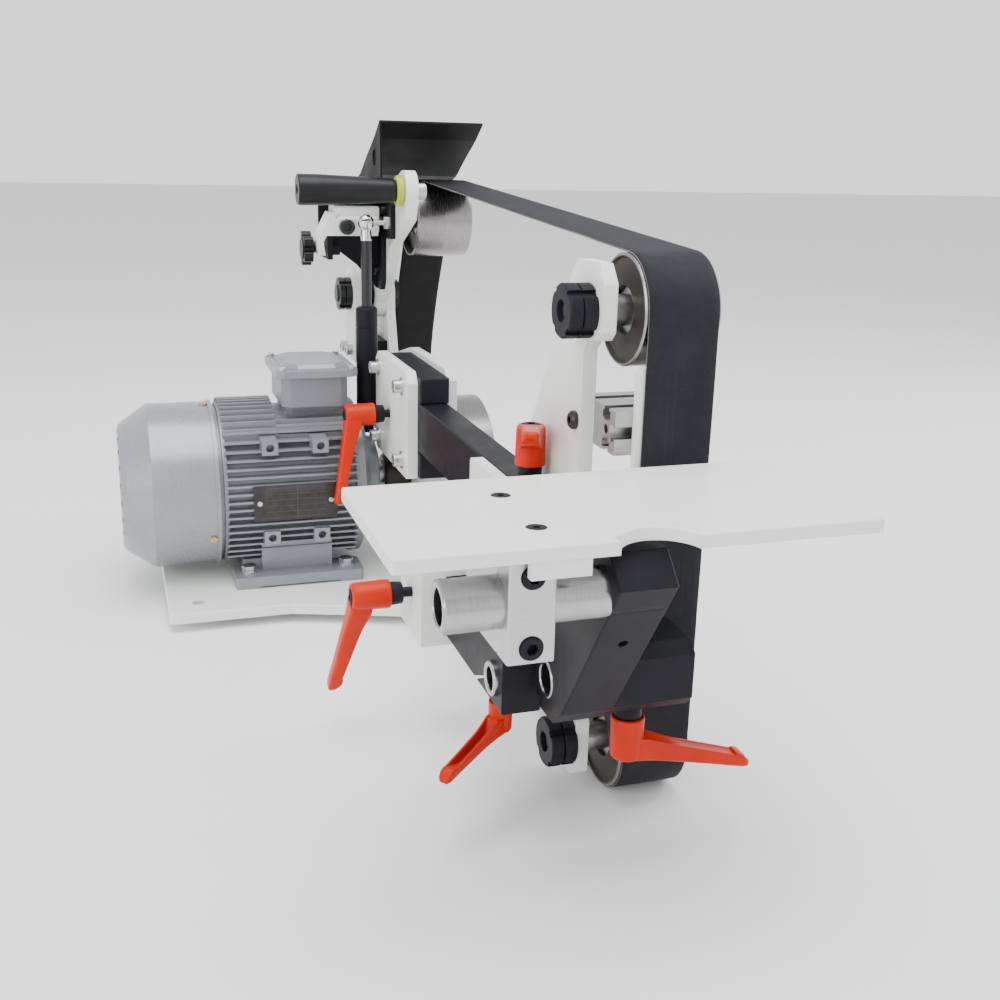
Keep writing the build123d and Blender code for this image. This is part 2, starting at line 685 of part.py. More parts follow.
def knuckle():
    rear = box(REST_X1 + 0.4, -53.3, -550, -518, 85, 121)
    rear = fillet(rear.edges().filter_by(Axis.X), 6)
    barrel = box(LINK_X1 + 0.4, -6, -598, -546, 95.8, 142.5)
    barrel = chamfer(barrel.edges().filter_by(Axis.X), 8)
    neck = box(LINK_X1 + 0.4, -53.3, -560, -540, 96, 119)
    body = rear + barrel + neck
    body = body - rod_x(24, -95, -53, EYE_Y, EYE_Z)
    body = body - rod_x(25.1, -65, -2, LINK_Y, LINK_Z)
    body = body - box(-65, -2, -562, -545, 104, 106)
    body = body - rod_z(8.1, 94, 107, -41, -577)
    return body


def link():
    outline = [(-681, 217), (-664, 234), (-645, 234), (-630, 222), (-558, 130), (-556, 108), (-566, 94),
               (-590, 94), (-604, 106)]
    body = plate_x(LINK_X0, LINK_X1, outline)
    body = chamfer(near(body.edges(), "X", LINK_X0) + near(body.edges(), "X", LINK_X1), 0.8)
    body = body - rod_x(CROSS_D + 0.1, -102, -67.5, CROSS_Y, CROSS_Z)
    body = body - rod_x(25, -102, -62, LINK_Y, LINK_Z)
    slit = Pos(-82, LINK_Y + 8, LINK_Z - 20) * Rot(20, 0, 0) * Box(40, 1.6, 26)
    body = body - slit
    lean = math.degrees(math.atan2(77, 111))
    hole = Pos(-82, -650, 172) * Rot(90 + lean, 0, 0) * Cylinder(3.05, 66)
    return body - hole


def link_tube():
    body = rod_x(25, -101, -1, LINK_Y, LINK_Z) - rod_x(19, -102, 0, LINK_Y, LINK_Z)
    return chamfer(body.edges().filter_by(GeomType.CIRCLE), 0.7)


def link_setscrew():
    lean = math.degrees(math.atan2(77, 111))
    place = Pos(-82, -650, 172) * Rot(90 + lean, 0, 0)
    body = Pos(0, 0, -9) * Cylinder(3.0, 8)
    return place * (body - Pos(0, 0, -8) * extrude(RegularPolygon(1.6, 6), 4))


def cross_tube():
    body = rod_x(CROSS_D, -195, -68, CROSS_Y, CROSS_Z) - rod_x(20.5, -196, -67, CROSS_Y, CROSS_Z)
    return chamfer(body.edges().filter_by(GeomType.CIRCLE), 1.0)


TABLE_SCREW_X = -138.2
TABLE_SCREW_Y = (-652, -590)
CLAMP_X0 = -161.0
CLAMP_X1 = -134.0
CLAMP_Y = -675.5
CLAMP_SCREW_Z = (187.8, 228.2)


def clamp_half(front):
    if front:
        body = box(CLAMP_X0, CLAMP_X1, CLAMP_Y, CROSS_Y - 0.5, 179, 237)
    else:
        body = box(CLAMP_X0, CLAMP_X1, CROSS_Y + 0.5, -578, 179, 237)
        body = body - Pos(-147, -578, 190) * Rot(38, 0, 0) * Box(40, 60, 46)
    body = chamfer(body.edges().filter_by(Axis.Z), 1.0)
    body = body - rod_x(CROSS_D + 0.08, -165, -130, CROSS_Y, CROSS_Z)
    if not front:
        for y in TABLE_SCREW_Y:
            body = body - rod_z(6.1, 225, 238, TABLE_SCREW_X, y)
    for z in CLAMP_SCREW_Z:
        if front:
            body = body - rod_y(8.4, CLAMP_Y - 1, CROSS_Y, -147.5, z)
            body = body - rod_y(14, CLAMP_Y - 1, CLAMP_Y + 6, -147.5, z)
        else:
            body = body - rod_y(8.1, CROSS_Y, CROSS_Y + 16, -147.5, z)
    return body


def clamp_screws():
    out = []
    for z in CLAMP_SCREW_Z:
        screw = socket_screw(8, 13, 8, 22)
        out.append(Pos(-147.5, CLAMP_Y + 6, z) * Rot(0, 0, 90) * screw)
    return out


def table_pad():
    body = box(-152, -118, -684, -578, 237, TABLE_Z) + box(-152, -118, -684, -678.2, 229.5, 238)
    for y in TABLE_SCREW_Y:
        body = body - rod_z(6.4, 236, 241, TABLE_SCREW_X, y)
    return body


def work_table():
    outline = [(-226, -686), (60, -686), (60, -551.5), (-48, -551.5), (-48, -553), (-226, -553)]
    body = extrude(Plane.XY.offset(TABLE_Z) * make_face(Polyline(*outline, close=True)), TABLE_T)
    body = body - rod_z(47, TABLE_Z - 1, TABLE_Z + 9, -79.5, -690)
    body = body - box(-103, -92, -690, -676, TABLE_Z - 1, TABLE_Z + 9)
    corners = [e for e in body.edges().filter_by(Axis.Z) if abs(e.center().X + 83) > 130]
    body = fillet(corners, 2.0)
    body = chamfer(body.faces().sort_by(Axis.Z)[-1].outer_wire().edges(), 0.7)
    for y in TABLE_SCREW_Y:
        body = body - rod_z(6.4, TABLE_Z - 1, TABLE_Z + 9, TABLE_SCREW_X, y)
        body = body - Pos(TABLE_SCREW_X, y, TABLE_Z + 6.4) * Cone(3.2, 6.4, 3.22)
    return body


def table_screws():
    out = []
    for y in TABLE_SCREW_Y:
        head = Pos(TABLE_SCREW_X, y, TABLE_Z + 6.2) * Cone(3.0, 6.0, 3.0)
        head = head - Pos(TABLE_SCREW_X, y, TABLE_Z + 7.0) * extrude(RegularPolygon(2.2, 6), 2)
        out.append(head + rod_z(6, 226, TABLE_Z + 4.8, TABLE_SCREW_X, y))
    return out


# ---- tension arm, tracking ----

def tension_arm():
    outline = [(-50, 400), (-42, 372), (28, 340), (52, 302), (92, 272), (144, 290), (92, 372), (56, 394),
               (-26, 419.5), (-44, 414)]
    discs = [(GRIP_Y, GRIP_Z, 20), (DRUM_Y, DRUM_Z, 24), (PIVOT_Y, PIVOT_Z, 27)]
    body = plate_x(TENS_X0, TENS_X1, outline, discs)
    body = body - rod_x(26, -64, -49, DRUM_Y, DRUM_Z)
    body = body - rod_x(20.1, -64, -49, PIVOT_Y, PIVOT_Z)
    body = body - rod_x(10.1, -64, -49, GRIP_Y, GRIP_Z)
    for y, z in yoke_holes():
        body = body - rod_x(6.1, -64, -49, y, z)
    return body


def yoke_holes():
    return [(27, 378), (60, 312)]


def pivot_cheek():
    outline = [(94, 205), (90, 270), (146, 270), (150, 250), (150, 205)]
    body = plate_x(-88, RECV_X, outline, [(PIVOT_Y, PIVOT_Z, 30.5)])
    body = body - rod_x(20.1, -90, -78, PIVOT_Y, PIVOT_Z)
    for y in (108, 138):
        body = body - rod_x(8.4, -90, -78, y, 216)
    return body


def pivot_spacer():
    body = box(RECV_X, MAIN_X, 94, 150, 205, 228)
    for y in (108, 138):
        body = body - rod_x(8.4, -82, -48, y, 216)
    return body


def pivot_spacer_bolts():
    out = []
    for y in (108, 138):
        out.append(Pos(-88, y, 216) * socket_screw(8, 13, 8, 44))
    return out


def pivot_shaft():
    profile = [(-104.5, 0), (-104.5, 8.5), (-103.5, 10), (-40, 10), (-40, 16), (-34, 16), (-34, 0)]
    return turned_x(profile, PIVOT_Y, PIVOT_Z)


def pivot_sleeve():
    return washer_x(30, 20.2, RECV_X, TENS_X0 - 0.9, PIVOT_Y, PIVOT_Z)


def yoke():
    flange = [(0, 350), (0, 384), (6, 390), (71, 390), (71, 298), (64, 292), (50, 292), (44, 300), (44, 348)]
    body = plate_x(TENS_X0 - 5, TENS_X0, flange)
    back = [(-62.5, 292), (-62.5, 390), (-131.5, 390), (-131.5, 347), (-107.5, 330.6), (-89.7, 317),
            (-68, 292)]
    wall = extrude(Plane.XZ.offset(-66) * make_face(Polyline(*back, close=True)), -5)
    roof = box(-131.5, TENS_X0, 24, 71, 386, 390)
    lug = box(-127.5, -122.5, 33, 71, 326, 351)
    boss = rod_x(14, -122.6, -114, 42, 337)
    body = body + wall + roof + lug + boss
    body = body - rod_x(26, -70, -60, DRUM_Y, DRUM_Z)
    body = body - rod_x(8.1, -70, -60, STRUT_Y, STRUT_Z1)
    for y, z in yoke_holes():
        body = body - rod_x(6.4, -70, -60, y, z)
    body = body - rod_y(10.1, 60, 75, TILT_X, TILT_Z)
    return body - rod_z(5.2, 384, 392, -73, 46)


def yoke_screws():
    out = []
    for y, z in yoke_holes():
        out.append(Pos(TENS_X0 - 5, y, z) * socket_screw(6, 10, 5, 14))
    return out


def tracking_block():
    face = [(-76, 351.5), (-76, 375.5), (-122, 375.5), (-134, 351.5)]
    front = extrude(Plane.XZ.offset(-22) * make_face(Polyline(*face, close=True)), -14)
    rim = [e for e in near(front.edges(), "Z", 375.5) if abs(e.center().Y - 22) < 0.1]
    front = chamfer(rim, 9, 7)
    strip = [(-125.7, 375), (-141, 345), (-139.5, 332), (-132, 331), (-134, 345), (-118, 375)]
    leg = extrude(Plane.XZ.offset(-22.4) * make_face(Polyline(*strip, close=True)), -35.6)
    core = box(-121, -74, 26, 63, 354, 382)
    core = chamfer(core.edges().filter_by(Axis.X), 3)
    body = front + leg + core
    body = body - rod_x(AXLE_D, -101, -73, DRUM_Y, DRUM_Z)
    body = body - rod_y(10.12, 20, 65, TILT_X, TILT_Z)
    return body - rod_x(8.1, -146, -130, 42, 337)


def tilt_bolt():
    profile = rod_y(10, 19.7, 71, TILT_X, TILT_Z)
    head = rod_y(16, 14, 21.6, TILT_X, TILT_Z)
    head = chamfer(head.edges().sort_by(Axis.Y)[0], 1.2)
    hexagon = extrude(Plane.XZ.offset(-13.9) * Pos(TILT_X, TILT_Z) * RegularPolygon(4.5, 6), -4)
    nut = extrude(Plane.XZ.offset(-71) * Pos(TILT_X, TILT_Z) * RegularPolygon(9.2, 6), -7)
    return profile + head - hexagon + nut


def tracking_axle():
    end = DRUM_X + 20.4
    neck = DRUM_X - 23.2
    profile = [(-101, 0), (-101, AXLE_D / 2), (-46, AXLE_D / 2), (-46, 10.5), (neck, 10.5),
               (neck, AXLE_D / 2), (end, AXLE_D / 2), (end, 0)]
    return turned_x(profile, DRUM_Y, DRUM_Z) - rod_x(6, end - 16.4, end + 1, DRUM_Y, DRUM_Z)


def tracking_knob():
    hub = rod_x(22, -154.5, -143, 42, 337)
    for i in range(5):
        a = 2 * math.pi * i / 5
        hub = hub + rod_x(12, -153.5, -144, 42 + 12.5 * math.cos(a), 337 + 12.5 * math.sin(a))
    hub = hub + rod_x(13, -143, -141.6, 42, 337)
    return hub


def knob_screw():
    return rod_x(7.9, -143.5, -129.3, 42, 337)


def upper_stud():
    x = TENS_X0 - 5
    body = rod_x(8, x, x + 5, STRUT_Y, STRUT_Z1)
    body = body + extrude(Plane.YZ.offset(x - 5) * Pos(STRUT_Y, STRUT_Z1) * RegularPolygon(7, 6), 5)
    ball = Pos(STRUT_X, STRUT_Y, STRUT_Z1) * Sphere(5)
    return body + rod_x(5.5, STRUT_X, x - 4.9, STRUT_Y, STRUT_Z1) + ball


def lower_stud():
    body = rod_x(10, MAIN_X - 0.01, MAIN_X + 10, STRUT_Y, STRUT_Z0)
    body = body + extrude(Plane.YZ.offset(MAIN_X - 6) * Pos(STRUT_Y, STRUT_Z0) * RegularPolygon(8, 6), 6)
    ball = Pos(STRUT_X, STRUT_Y, STRUT_Z0) * Sphere(5)
    return body + rod_x(6.5, STRUT_X, MAIN_X - 5.9, STRUT_Y, STRUT_Z0) + ball


def strut_cylinder():
    z0 = STRUT_Z0
    socket = rod_z(14, z0 - 6, z0 + 14, STRUT_X, STRUT_Y)
    socket = socket - Pos(STRUT_X, STRUT_Y, z0) * Sphere(5.06)
    socket = socket - rod_x(7.4, STRUT_X, STRUT_X + 12, STRUT_Y, z0)
    tube = rod_z(23, z0 + 13, 279, STRUT_X, STRUT_Y)
    tube = chamfer(tube.edges().filter_by(GeomType.CIRCLE), 2.0)
    tube = tube - rod_z(20, z0 + 18, 274, STRUT_X, STRUT_Y)
    tube = tube - rod_z(11.4, 270, 282, STRUT_X, STRUT_Y)
    seam = rod_z(24, 256, 258, STRUT_X, STRUT_Y) - rod_z(22.2, 255, 259, STRUT_X, STRUT_Y)
    return socket + tube - seam


def strut_rod():
    body = rod_z(11, 215, 348, STRUT_X, STRUT_Y)
    return body + rod_z(19.2, 212, 216, STRUT_X, STRUT_Y)


def strut_spring():
    helix = Helix(pitch=8.0, height=34, radius=7.9)
    wire_face = Plane(origin=helix @ 0, z_dir=helix % 0) * Circle(1.3)
    coil = sweep(wire_face, path=helix)
    return Pos(STRUT_X, STRUT_Y, 173.2) * coil


def rod_end():
    neck = Pos(STRUT_X, STRUT_Y, 354) * Cone(6.6, 5.0, 12)
    body = neck + Pos(STRUT_X, STRUT_Y, STRUT_Z1) * Sphere(8.6)
    body = body - rod_z(11.2, STRUT_Z1 - 5.4, STRUT_Z1 + 5.4, STRUT_X, STRUT_Y)
    return body - rod_x(8.6, STRUT_X, STRUT_X + 12, STRUT_Y, STRUT_Z1)


def grip():
    profile = [(-168.5, 5.06), (-168.5, 14), (-167.5, 15), (-148, 15), (-112, 13.6), (-74, 11.8),
               (-70.5, 11.0), (-70.5, 5.06)]
    return turned_x(profile, GRIP_Y, GRIP_Z)


def grip_collar():
    profile = [(-70.1, 5.2), (-70.1, 13), (-68.5, 15), (-64, 15), (-62.5, 13.5), (-62.5, 5.2)]
    return turned_x(profile, GRIP_Y, GRIP_Z)


def grip_bolt():
    body = rod_x(10, -166, -50.6, GRIP_Y, GRIP_Z)
    head = rod_x(17, -50.6, -39, GRIP_Y, GRIP_Z)
    head = chamfer(head.edges().sort_by(Axis.X)[-1], 1.2)
    hexagon = extrude(Plane.YZ.offset(-44) * Pos(GRIP_Y, GRIP_Z) * RegularPolygon(4.6, 6), 6)
    return body + head - hexagon


def belt_guard():
    inner = [(-4, 466), (20, 450.5), (60, 430), (92, 412), (107, 407.5)]
    outer = [(107.8, 409.5), (93, 414), (61, 432), (21, 452.4), (-3, 468)]
    flat = Plane.YZ.offset(-80)
    sheet = extrude(flat * make_face(Polyline(*(inner + outer), close=True)), 109)
    flange = [(-4, 466), (20, 450.5), (60, 430), (92, 412), (107, 407.5), (98, 406), (58, 409), (58, 390),
              (34, 390), (34, 410), (-8, 412)]
    side = extrude(Plane.YZ.offset(-80) * make_face(Polyline(*flange, close=True)), 2)
    slot = rod_x(17, -82, -77, 22, 431)
    foot = box(-80, -66, 34, 58, 390, 392)
    return sheet + side - slot + foot - rod_z(5.4, 388, 394, -73, 46)


def guard_screw():
    body = rod_z(5, 384, 392.01, -73, 46) + rod_z(9, 392, 395.4, -73, 46)
    return body - extrude(Plane.XY.offset(393.6) * Pos(-73, 46) * RegularPolygon(1.9, 6), 3)


# ---- clamping levers ----

def lever_shapes(size, hollow):
    """Lever about +Z with its foot at z=0: orange handle, black insert with stud, scaled by size."""
    side = [(0, 23), (12, 24.5), (30, 31), (77, 44.2), (79, 41.8), (83, 42.2), (87.5, 48), (89, 52.5),
            (86, 55.4), (12, 41.5), (0, 40)]
    plan = [(0, -10), (14, -8.5), (34, -6.4), (86, -6.2), (89, -3.5), (89, 3.5), (86, 6.2), (34, 6.4),
            (14, 8.5), (0, 10)]
    arm = extrude(Plane.XZ * make_face(Polyline(*side, close=True)), 12, both=True)
    arm = arm & extrude(make_face(Polyline(*plan, close=True)), 70)
    handle = arm + Pos(0, 0, 24.75) * Cone(11.4, 10.6, 30.5)
    if hollow:
        under = [(17, 18), (17, 37.5), (69, 48.5), (69, 18)]
        handle = handle - extrude(Plane.XZ * make_face(Polyline(*under, close=True)), 4, both=True)
    handle = handle - Pos(0, 0, 25) * Cylinder(7.05, 40)
    insert = Pos(0, 0, 4.65) * Cone(8.6, 9.4, 9.3) + Pos(0, 0, 24) * Cylinder(7.0, 30)
    cap = Pos(0, 0, 39.6) * Cylinder(6.2, 2.4)
    cap = cap - Pos(0, 0, 39.2) * extrude(RegularPolygon(2.6, 6), 3)
    return scale(handle, size), scale(insert + cap, size)


def lever(size, stud_d, gap, reach, hollow, place):
    """Handle and stud solids placed on their axis; the stud reaches past the foot by gap + reach."""
    handle, insert = lever_shapes(size, hollow)
    stud = Pos(0, 0, -(gap + reach) / 2 + 0.2) * Cylinder(stud_d / 2, gap + reach + 0.4)
    return place * handle, place * (insert + stud)


def lever_places():
    """Frames whose +Z runs outwards along each lever axis and whose +X follows the lever arm."""
    return {
        "lever_arm": Plane(origin=(-94, -80, 183), x_dir=(0, -0.25, -0.968), z_dir=(-1, 0, 0)),
        "lever_rest": Plane(origin=(-149, -387, 111), x_dir=(0, 0.27, -0.963), z_dir=(-1, 0, 0)),
        "lever_eye": Plane(origin=(-108, -512, 81.5), x_dir=(-0.788, -0.616, 0), z_dir=(0, 0, -1)),
        "lever_link": Plane(origin=(-41, -577, 95.2), x_dir=(0.996, -0.087, 0), z_dir=(0, 0, -1)),
        "lever_head": Plane(origin=(-64, -435, 211.5), x_dir=(-0.342, -0.94, 0), z_dir=(0, 0, 1)),
    }


def save_levers():
    places = lever_places()
    table = {
        "lever_arm": (1.0, 8, 6, 9.8, False),
        "lever_rest": (1.0, 8, 8, 19.2, False),
        "lever_eye": (0.76, 6, 2, 34, True),
        "lever_link": (1.0, 8, 0.6, 9.8, False),
        "lever_head": (1.0, 8, 2, 68, False),
    }
    for name, (size, stud_d, gap, reach, hollow) in table.items():
        handle, insert = lever(size, stud_d, gap, reach, hollow, places[name].location)
        save(name, handle, insert)


def save_frame():
    save("base_plate", base_plate())
    save("main_plate", main_plate())
    save("side_plates", receiver_plate(), pivot_cheek())
    spacers = [receiver_spacer(209.8, 234), receiver_spacer(137, 161.2)]
    save("frame_spacers", *spacers, pivot_spacer(), pivot_sleeve())
    save("frame_bolts", *receiver_bolts(), *pivot_spacer_bolts())
    nuts = []
    for x in (-95, -102.4):
        nuts.append(slotted_nut(x, x + 7, 20, 37, PIVOT_Y, PIVOT_Z))
    save("pivot_pins", pivot_shaft(), lower_stud(), *nuts)


def save_motor():
    save("motor_housing", motor_housing())
    save("end_shields", end_bell(), rear_bell() + cowl_lugs())
    save("fan_cowl", fan_cowl())
    save("motor_screws", *cowl_screws(), *lid_screws(), *nameplate_rivets())
    save("motor_feet", *motor_feet())
    save("foot_bolts", *foot_bolts())
    save("terminal_box", terminal_box(), gland_plug())
    save("terminal_lid", terminal_lid())
    save("nameplate", nameplate())
    save("stator", stator())
    save("motor_bearings", *motor_bearings())
    save("rotor_shaft", rotor_shaft(), *drive_fasteners())
    save("cooling_fan", cooling_fan())
    save("drive_wheel", drive_wheel())


def save_head():
    heights = (UPPER_Z, LOWER_Z)
    save("abrasive_belt", abrasive_belt())
    save("tool_arm", tool_arm())
    save("head_plates", platen_bracket(), head_plate())
    save("head_spacer", head_spacer())
    save("platen_profiles", profile_piece(265.5), profile_piece(107.5))
    save("platen_plate", platen_plate())
    save("head_screws", *profile_screws(), *platen_screws(), *head_bolts(), *rest_receiver_bolts())
    save("wheel_axles", *[wheel_axle(z) for z in heights], *[end_screw(20.4, HEAD_Y, z) for z in heights])
    nuts = []
    for z in heights:
        nuts.append(slotted_nut(-60.1, ARM_X1, AXLE_D, NUT_D, HEAD_Y, z))
        nuts.append(slotted_nut(-70.3, -60.5, AXLE_D, NUT_D, HEAD_Y, z))
    save("wheel_nuts", *nuts)
    save("upper_wheel", platen_wheel(UPPER_Z))
    save("lower_wheel", platen_wheel(LOWER_Z))
    save("wheel_bearings", *wheel_bearings(HEAD_Y, UPPER_Z), *wheel_bearings(HEAD_Y, LOWER_Z))


def save_rest():
    save("rest_receiver", rest_receiver())
    save("rest_arm", rest_arm())
    save("eye_tube", eye_tube())
    save("knuckle", knuckle())
    save("rest_link", link(), link_setscrew())
    save("rest_tubes", link_tube(), cross_tube())
    save("table_clamp", clamp_half(True), clamp_half(False))
    save("table_pad", table_pad())
    save("work_table", work_table())
    save("table_screws", *clamp_screws(), *table_screws())


def save_tension():
    save("tension_arm", tension_arm())
    save("tracking_yoke", yoke())
    save("arm_screws", *yoke_screws(), guard_screw(), grip_bolt(), upper_stud(), tilt_bolt())
    save("tension_grip", grip())
    save("grip_collar", grip_collar())
    save("belt_guard", belt_guard())
    save("tracking_block", tracking_block())
    rings = [Pos(DRUM_X, 0, 0) * ring for ring in wheel_bearings(DRUM_Y, DRUM_Z)]
    save("tracking_axle", tracking_axle(), end_screw(DRUM_X + 20.4, DRUM_Y, DRUM_Z), *rings)
    save("tracking_wheel", tracking_wheel())
    save("tracking_knob", tracking_knob(), knob_screw())
    save("strut_cylinder", strut_cylinder())
    save("strut_spring", strut_spring())
    save("strut_rod", strut_rod(), rod_end())


save_frame()
save_motor()
save_head()
save_rest()
save_tension()
save_levers()
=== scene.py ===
"""Looks of the bench belt grinder: camera, studio light, materials and the detailed pieces."""
import math

import bmesh
import bpy
from mathutils import Matrix, Vector


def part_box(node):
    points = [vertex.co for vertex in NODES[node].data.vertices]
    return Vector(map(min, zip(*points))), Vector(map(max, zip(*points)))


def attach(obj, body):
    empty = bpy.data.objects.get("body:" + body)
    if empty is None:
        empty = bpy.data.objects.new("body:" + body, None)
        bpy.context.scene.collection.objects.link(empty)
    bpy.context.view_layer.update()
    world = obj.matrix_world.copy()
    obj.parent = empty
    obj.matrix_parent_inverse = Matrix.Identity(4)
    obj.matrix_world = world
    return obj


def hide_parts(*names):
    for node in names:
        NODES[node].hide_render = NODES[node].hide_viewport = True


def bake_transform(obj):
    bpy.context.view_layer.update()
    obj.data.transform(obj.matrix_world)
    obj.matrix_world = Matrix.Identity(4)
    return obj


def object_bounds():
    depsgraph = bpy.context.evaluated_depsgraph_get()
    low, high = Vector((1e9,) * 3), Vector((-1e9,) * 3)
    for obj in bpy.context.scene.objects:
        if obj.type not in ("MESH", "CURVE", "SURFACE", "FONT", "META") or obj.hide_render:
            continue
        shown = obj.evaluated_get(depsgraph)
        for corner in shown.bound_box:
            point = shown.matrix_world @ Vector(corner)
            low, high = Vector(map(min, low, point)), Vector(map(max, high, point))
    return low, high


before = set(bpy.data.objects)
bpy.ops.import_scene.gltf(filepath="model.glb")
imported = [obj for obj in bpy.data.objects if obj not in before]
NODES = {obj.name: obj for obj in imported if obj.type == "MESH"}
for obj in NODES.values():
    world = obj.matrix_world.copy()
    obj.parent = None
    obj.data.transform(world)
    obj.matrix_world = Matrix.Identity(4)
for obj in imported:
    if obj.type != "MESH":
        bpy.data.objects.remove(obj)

cad_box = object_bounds()
MM = 0.001
SHARP_EDGE = 35.0

# Positions in metres at which one node changes from one finish to another.
PIN_SPLIT_Z = 0.2
BOX_PLUG_X = -0.12225
MOTOR_SCREW_X = -0.24
HEAD_SCREW_X = -0.0675
ROD_END_Z = 0.348
GRIP_BOLT_Y = 0.0155
BOLT_HEAD_X = -0.0995


# ---------------------------------------------------------------- shader helpers

class Tree:
    """A material's node tree with short calls for the nodes used here."""

    def __init__(self, name):
        self.mat = bpy.data.materials.new(name)
        self.mat.use_nodes = True
        self.nodes = self.mat.node_tree.nodes
        self.links = self.mat.node_tree.links
        self.shader = self.nodes["Principled BSDF"]
        self.coord = self.add("ShaderNodeTexCoord").outputs["Object"]

    def add(self, kind, **settings):
        node = self.nodes.new(kind)
        for key, value in settings.items():
            setattr(node, key, value)
        return node

    def put(self, socket, value):
        if isinstance(value, bpy.types.NodeSocket):
            self.links.new(value, socket)
        else:
            socket.default_value = value

    def math(self, op, a, b=0.0, clamp=False):
        node = self.add("ShaderNodeMath", operation=op, use_clamp=clamp)
        self.put(node.inputs[0], a)
        self.put(node.inputs[1], b)
        return node.outputs[0]

    def noise(self, scale, detail=3.0, rough=0.5, vector=None, stretch=None):
        node = self.add("ShaderNodeTexNoise")
        node.inputs["Scale"].default_value = scale
        node.inputs["Detail"].default_value = detail
        node.inputs["Roughness"].default_value = rough
        source = vector or self.coord
        if stretch:
            source = self.scaled(source, stretch)
        self.links.new(source, node.inputs["Vector"])
        return node.outputs["Fac"]

    def voronoi(self, scale):
        node = self.add("ShaderNodeTexVoronoi", feature="F1")
        node.inputs["Scale"].default_value = scale
        self.links.new(self.coord, node.inputs["Vector"])
        return node.outputs["Distance"]

    def scaled(self, vector, factors):
        node = self.add("ShaderNodeMapping")
        node.inputs["Scale"].default_value = factors
        self.links.new(vector, node.inputs["Vector"])
        return node.outputs["Vector"]

    def split(self):
        node = self.add("ShaderNodeSeparateXYZ")
        self.links.new(self.coord, node.inputs[0])
        return node.outputs

    def join(self, x, y, z):
        node = self.add("ShaderNodeCombineXYZ")
        for socket, value in zip(node.inputs, (x, y, z)):
            self.put(socket, value)
        return node.outputs[0]

    def ramp(self, fac, low, high, out_low=0.0, out_high=1.0):
        node = self.add("ShaderNodeMapRange")
        self.put(node.inputs["Value"], fac)
        node.inputs["From Min"].default_value = low
        node.inputs["From Max"].default_value = high
        node.inputs["To Min"].default_value = out_low
        node.inputs["To Max"].default_value = out_high
        return node.outputs[0]

    def mix(self, fac, a, b):
        node = self.add("ShaderNodeMix", data_type="RGBA")
        self.put(node.inputs["Factor"], fac)
        self.put(node.inputs["A"], (*a, 1.0) if isinstance(a, tuple) else a)
        self.put(node.inputs["B"], (*b, 1.0) if isinstance(b, tuple) else b)
        return node.outputs["Result"]

    def bump(self, height, strength, distance, round_edges=0.0):
        node = self.add("ShaderNodeBump")
        node.inputs["Strength"].default_value = strength
        node.inputs["Distance"].default_value = distance
        self.links.new(height, node.inputs["Height"])
        if round_edges:
            bevel = self.add("ShaderNodeBevel", samples=4)
            bevel.inputs["Radius"].default_value = round_edges
            self.links.new(bevel.outputs[0], node.inputs["Normal"])
        self.links.new(node.outputs[0], self.shader.inputs["Normal"])

    def finish(self, colour, rough, metallic=0.0, coat=0.0, coat_rough=0.1, specular=0.5):
        self.put(self.shader.inputs["Base Color"], (*colour, 1.0) if isinstance(colour, tuple) else colour)
        self.put(self.shader.inputs["Roughness"], rough)
        self.put(self.shader.inputs["Metallic"], metallic)
        self.shader.inputs["Coat Weight"].default_value = coat
        self.shader.inputs["Coat Roughness"].default_value = coat_rough
        self.shader.inputs["Specular IOR Level"].default_value = specular
        return self.mat


def powder_coat(name, colour, rough=0.42, shift=0.94, grain=1400.0):
    """Sprayed powder coat: orange-peel skin, faint cloudiness and a few rubbed spots."""
    t = Tree(name)
    cloud = t.noise(9.0, 4.0, 0.6)
    dust = t.noise(260.0, 3.0, 0.7)
    tone = t.mix(t.ramp(cloud, 0.3, 0.7), tuple(c * shift for c in colour), colour)
    tone = t.mix(t.ramp(dust, 0.66, 0.78, 0.0, 0.12), tone, tuple(c * 0.6 for c in colour))
    peel = t.noise(grain, 2.0, 0.5)
    t.bump(peel, 0.16, 0.0004, 0.0009)
    return t.finish(tone, t.ramp(dust, 0.3, 0.8, rough - 0.06, rough + 0.12), coat=0.12, coat_rough=0.25)


def cast_paint(name, colour, rough=0.38, grain=900.0, lumps=0.3):
    """Silver-grey enamel over a cast surface."""
    t = Tree(name)
    cloud = t.noise(14.0, 4.0, 0.6)
    grit = t.noise(grain, 3.0, 0.65)
    fleck = t.noise(3200.0, 1.0, 0.5)
    tone = t.mix(t.ramp(cloud, 0.3, 0.7), tuple(c * 0.88 for c in colour), colour)
    tone = t.mix(t.ramp(fleck, 0.55, 0.75, 0.0, 0.35), tone, tuple(min(1.0, c * 1.5) for c in colour))
    t.bump(grit, lumps, 0.0004, 0.0008)
    return t.finish(tone, t.ramp(grit, 0.2, 0.8, rough - 0.07, rough + 0.1), 0.35, coat=0.2, coat_rough=0.2)


def black_coat(name, colour=(0.006, 0.006, 0.008), rough=0.46, grain=1100.0, scuff=(0.04, 0.04, 0.043)):
    """Satin black coat with a fine texture and light scuffs."""
    t = Tree(name)
    scratch = t.noise(60.0, 6.0, 0.75, stretch=(1.0, 0.12, 1.0))
    grit = t.noise(grain, 3.0, 0.6)
    cloud = t.noise(22.0, 4.0, 0.6)
    tone = t.mix(t.ramp(cloud, 0.3, 0.7), colour, tuple(c * 1.9 for c in colour))
    tone = t.mix(t.ramp(scratch, 0.66, 0.80, 0.0, 0.35), tone, scuff)
    t.bump(grit, 0.22, 0.0003, 0.0008)
    return t.finish(tone, t.ramp(cloud, 0.25, 0.75, rough - 0.08, rough + 0.12), specular=0.16)


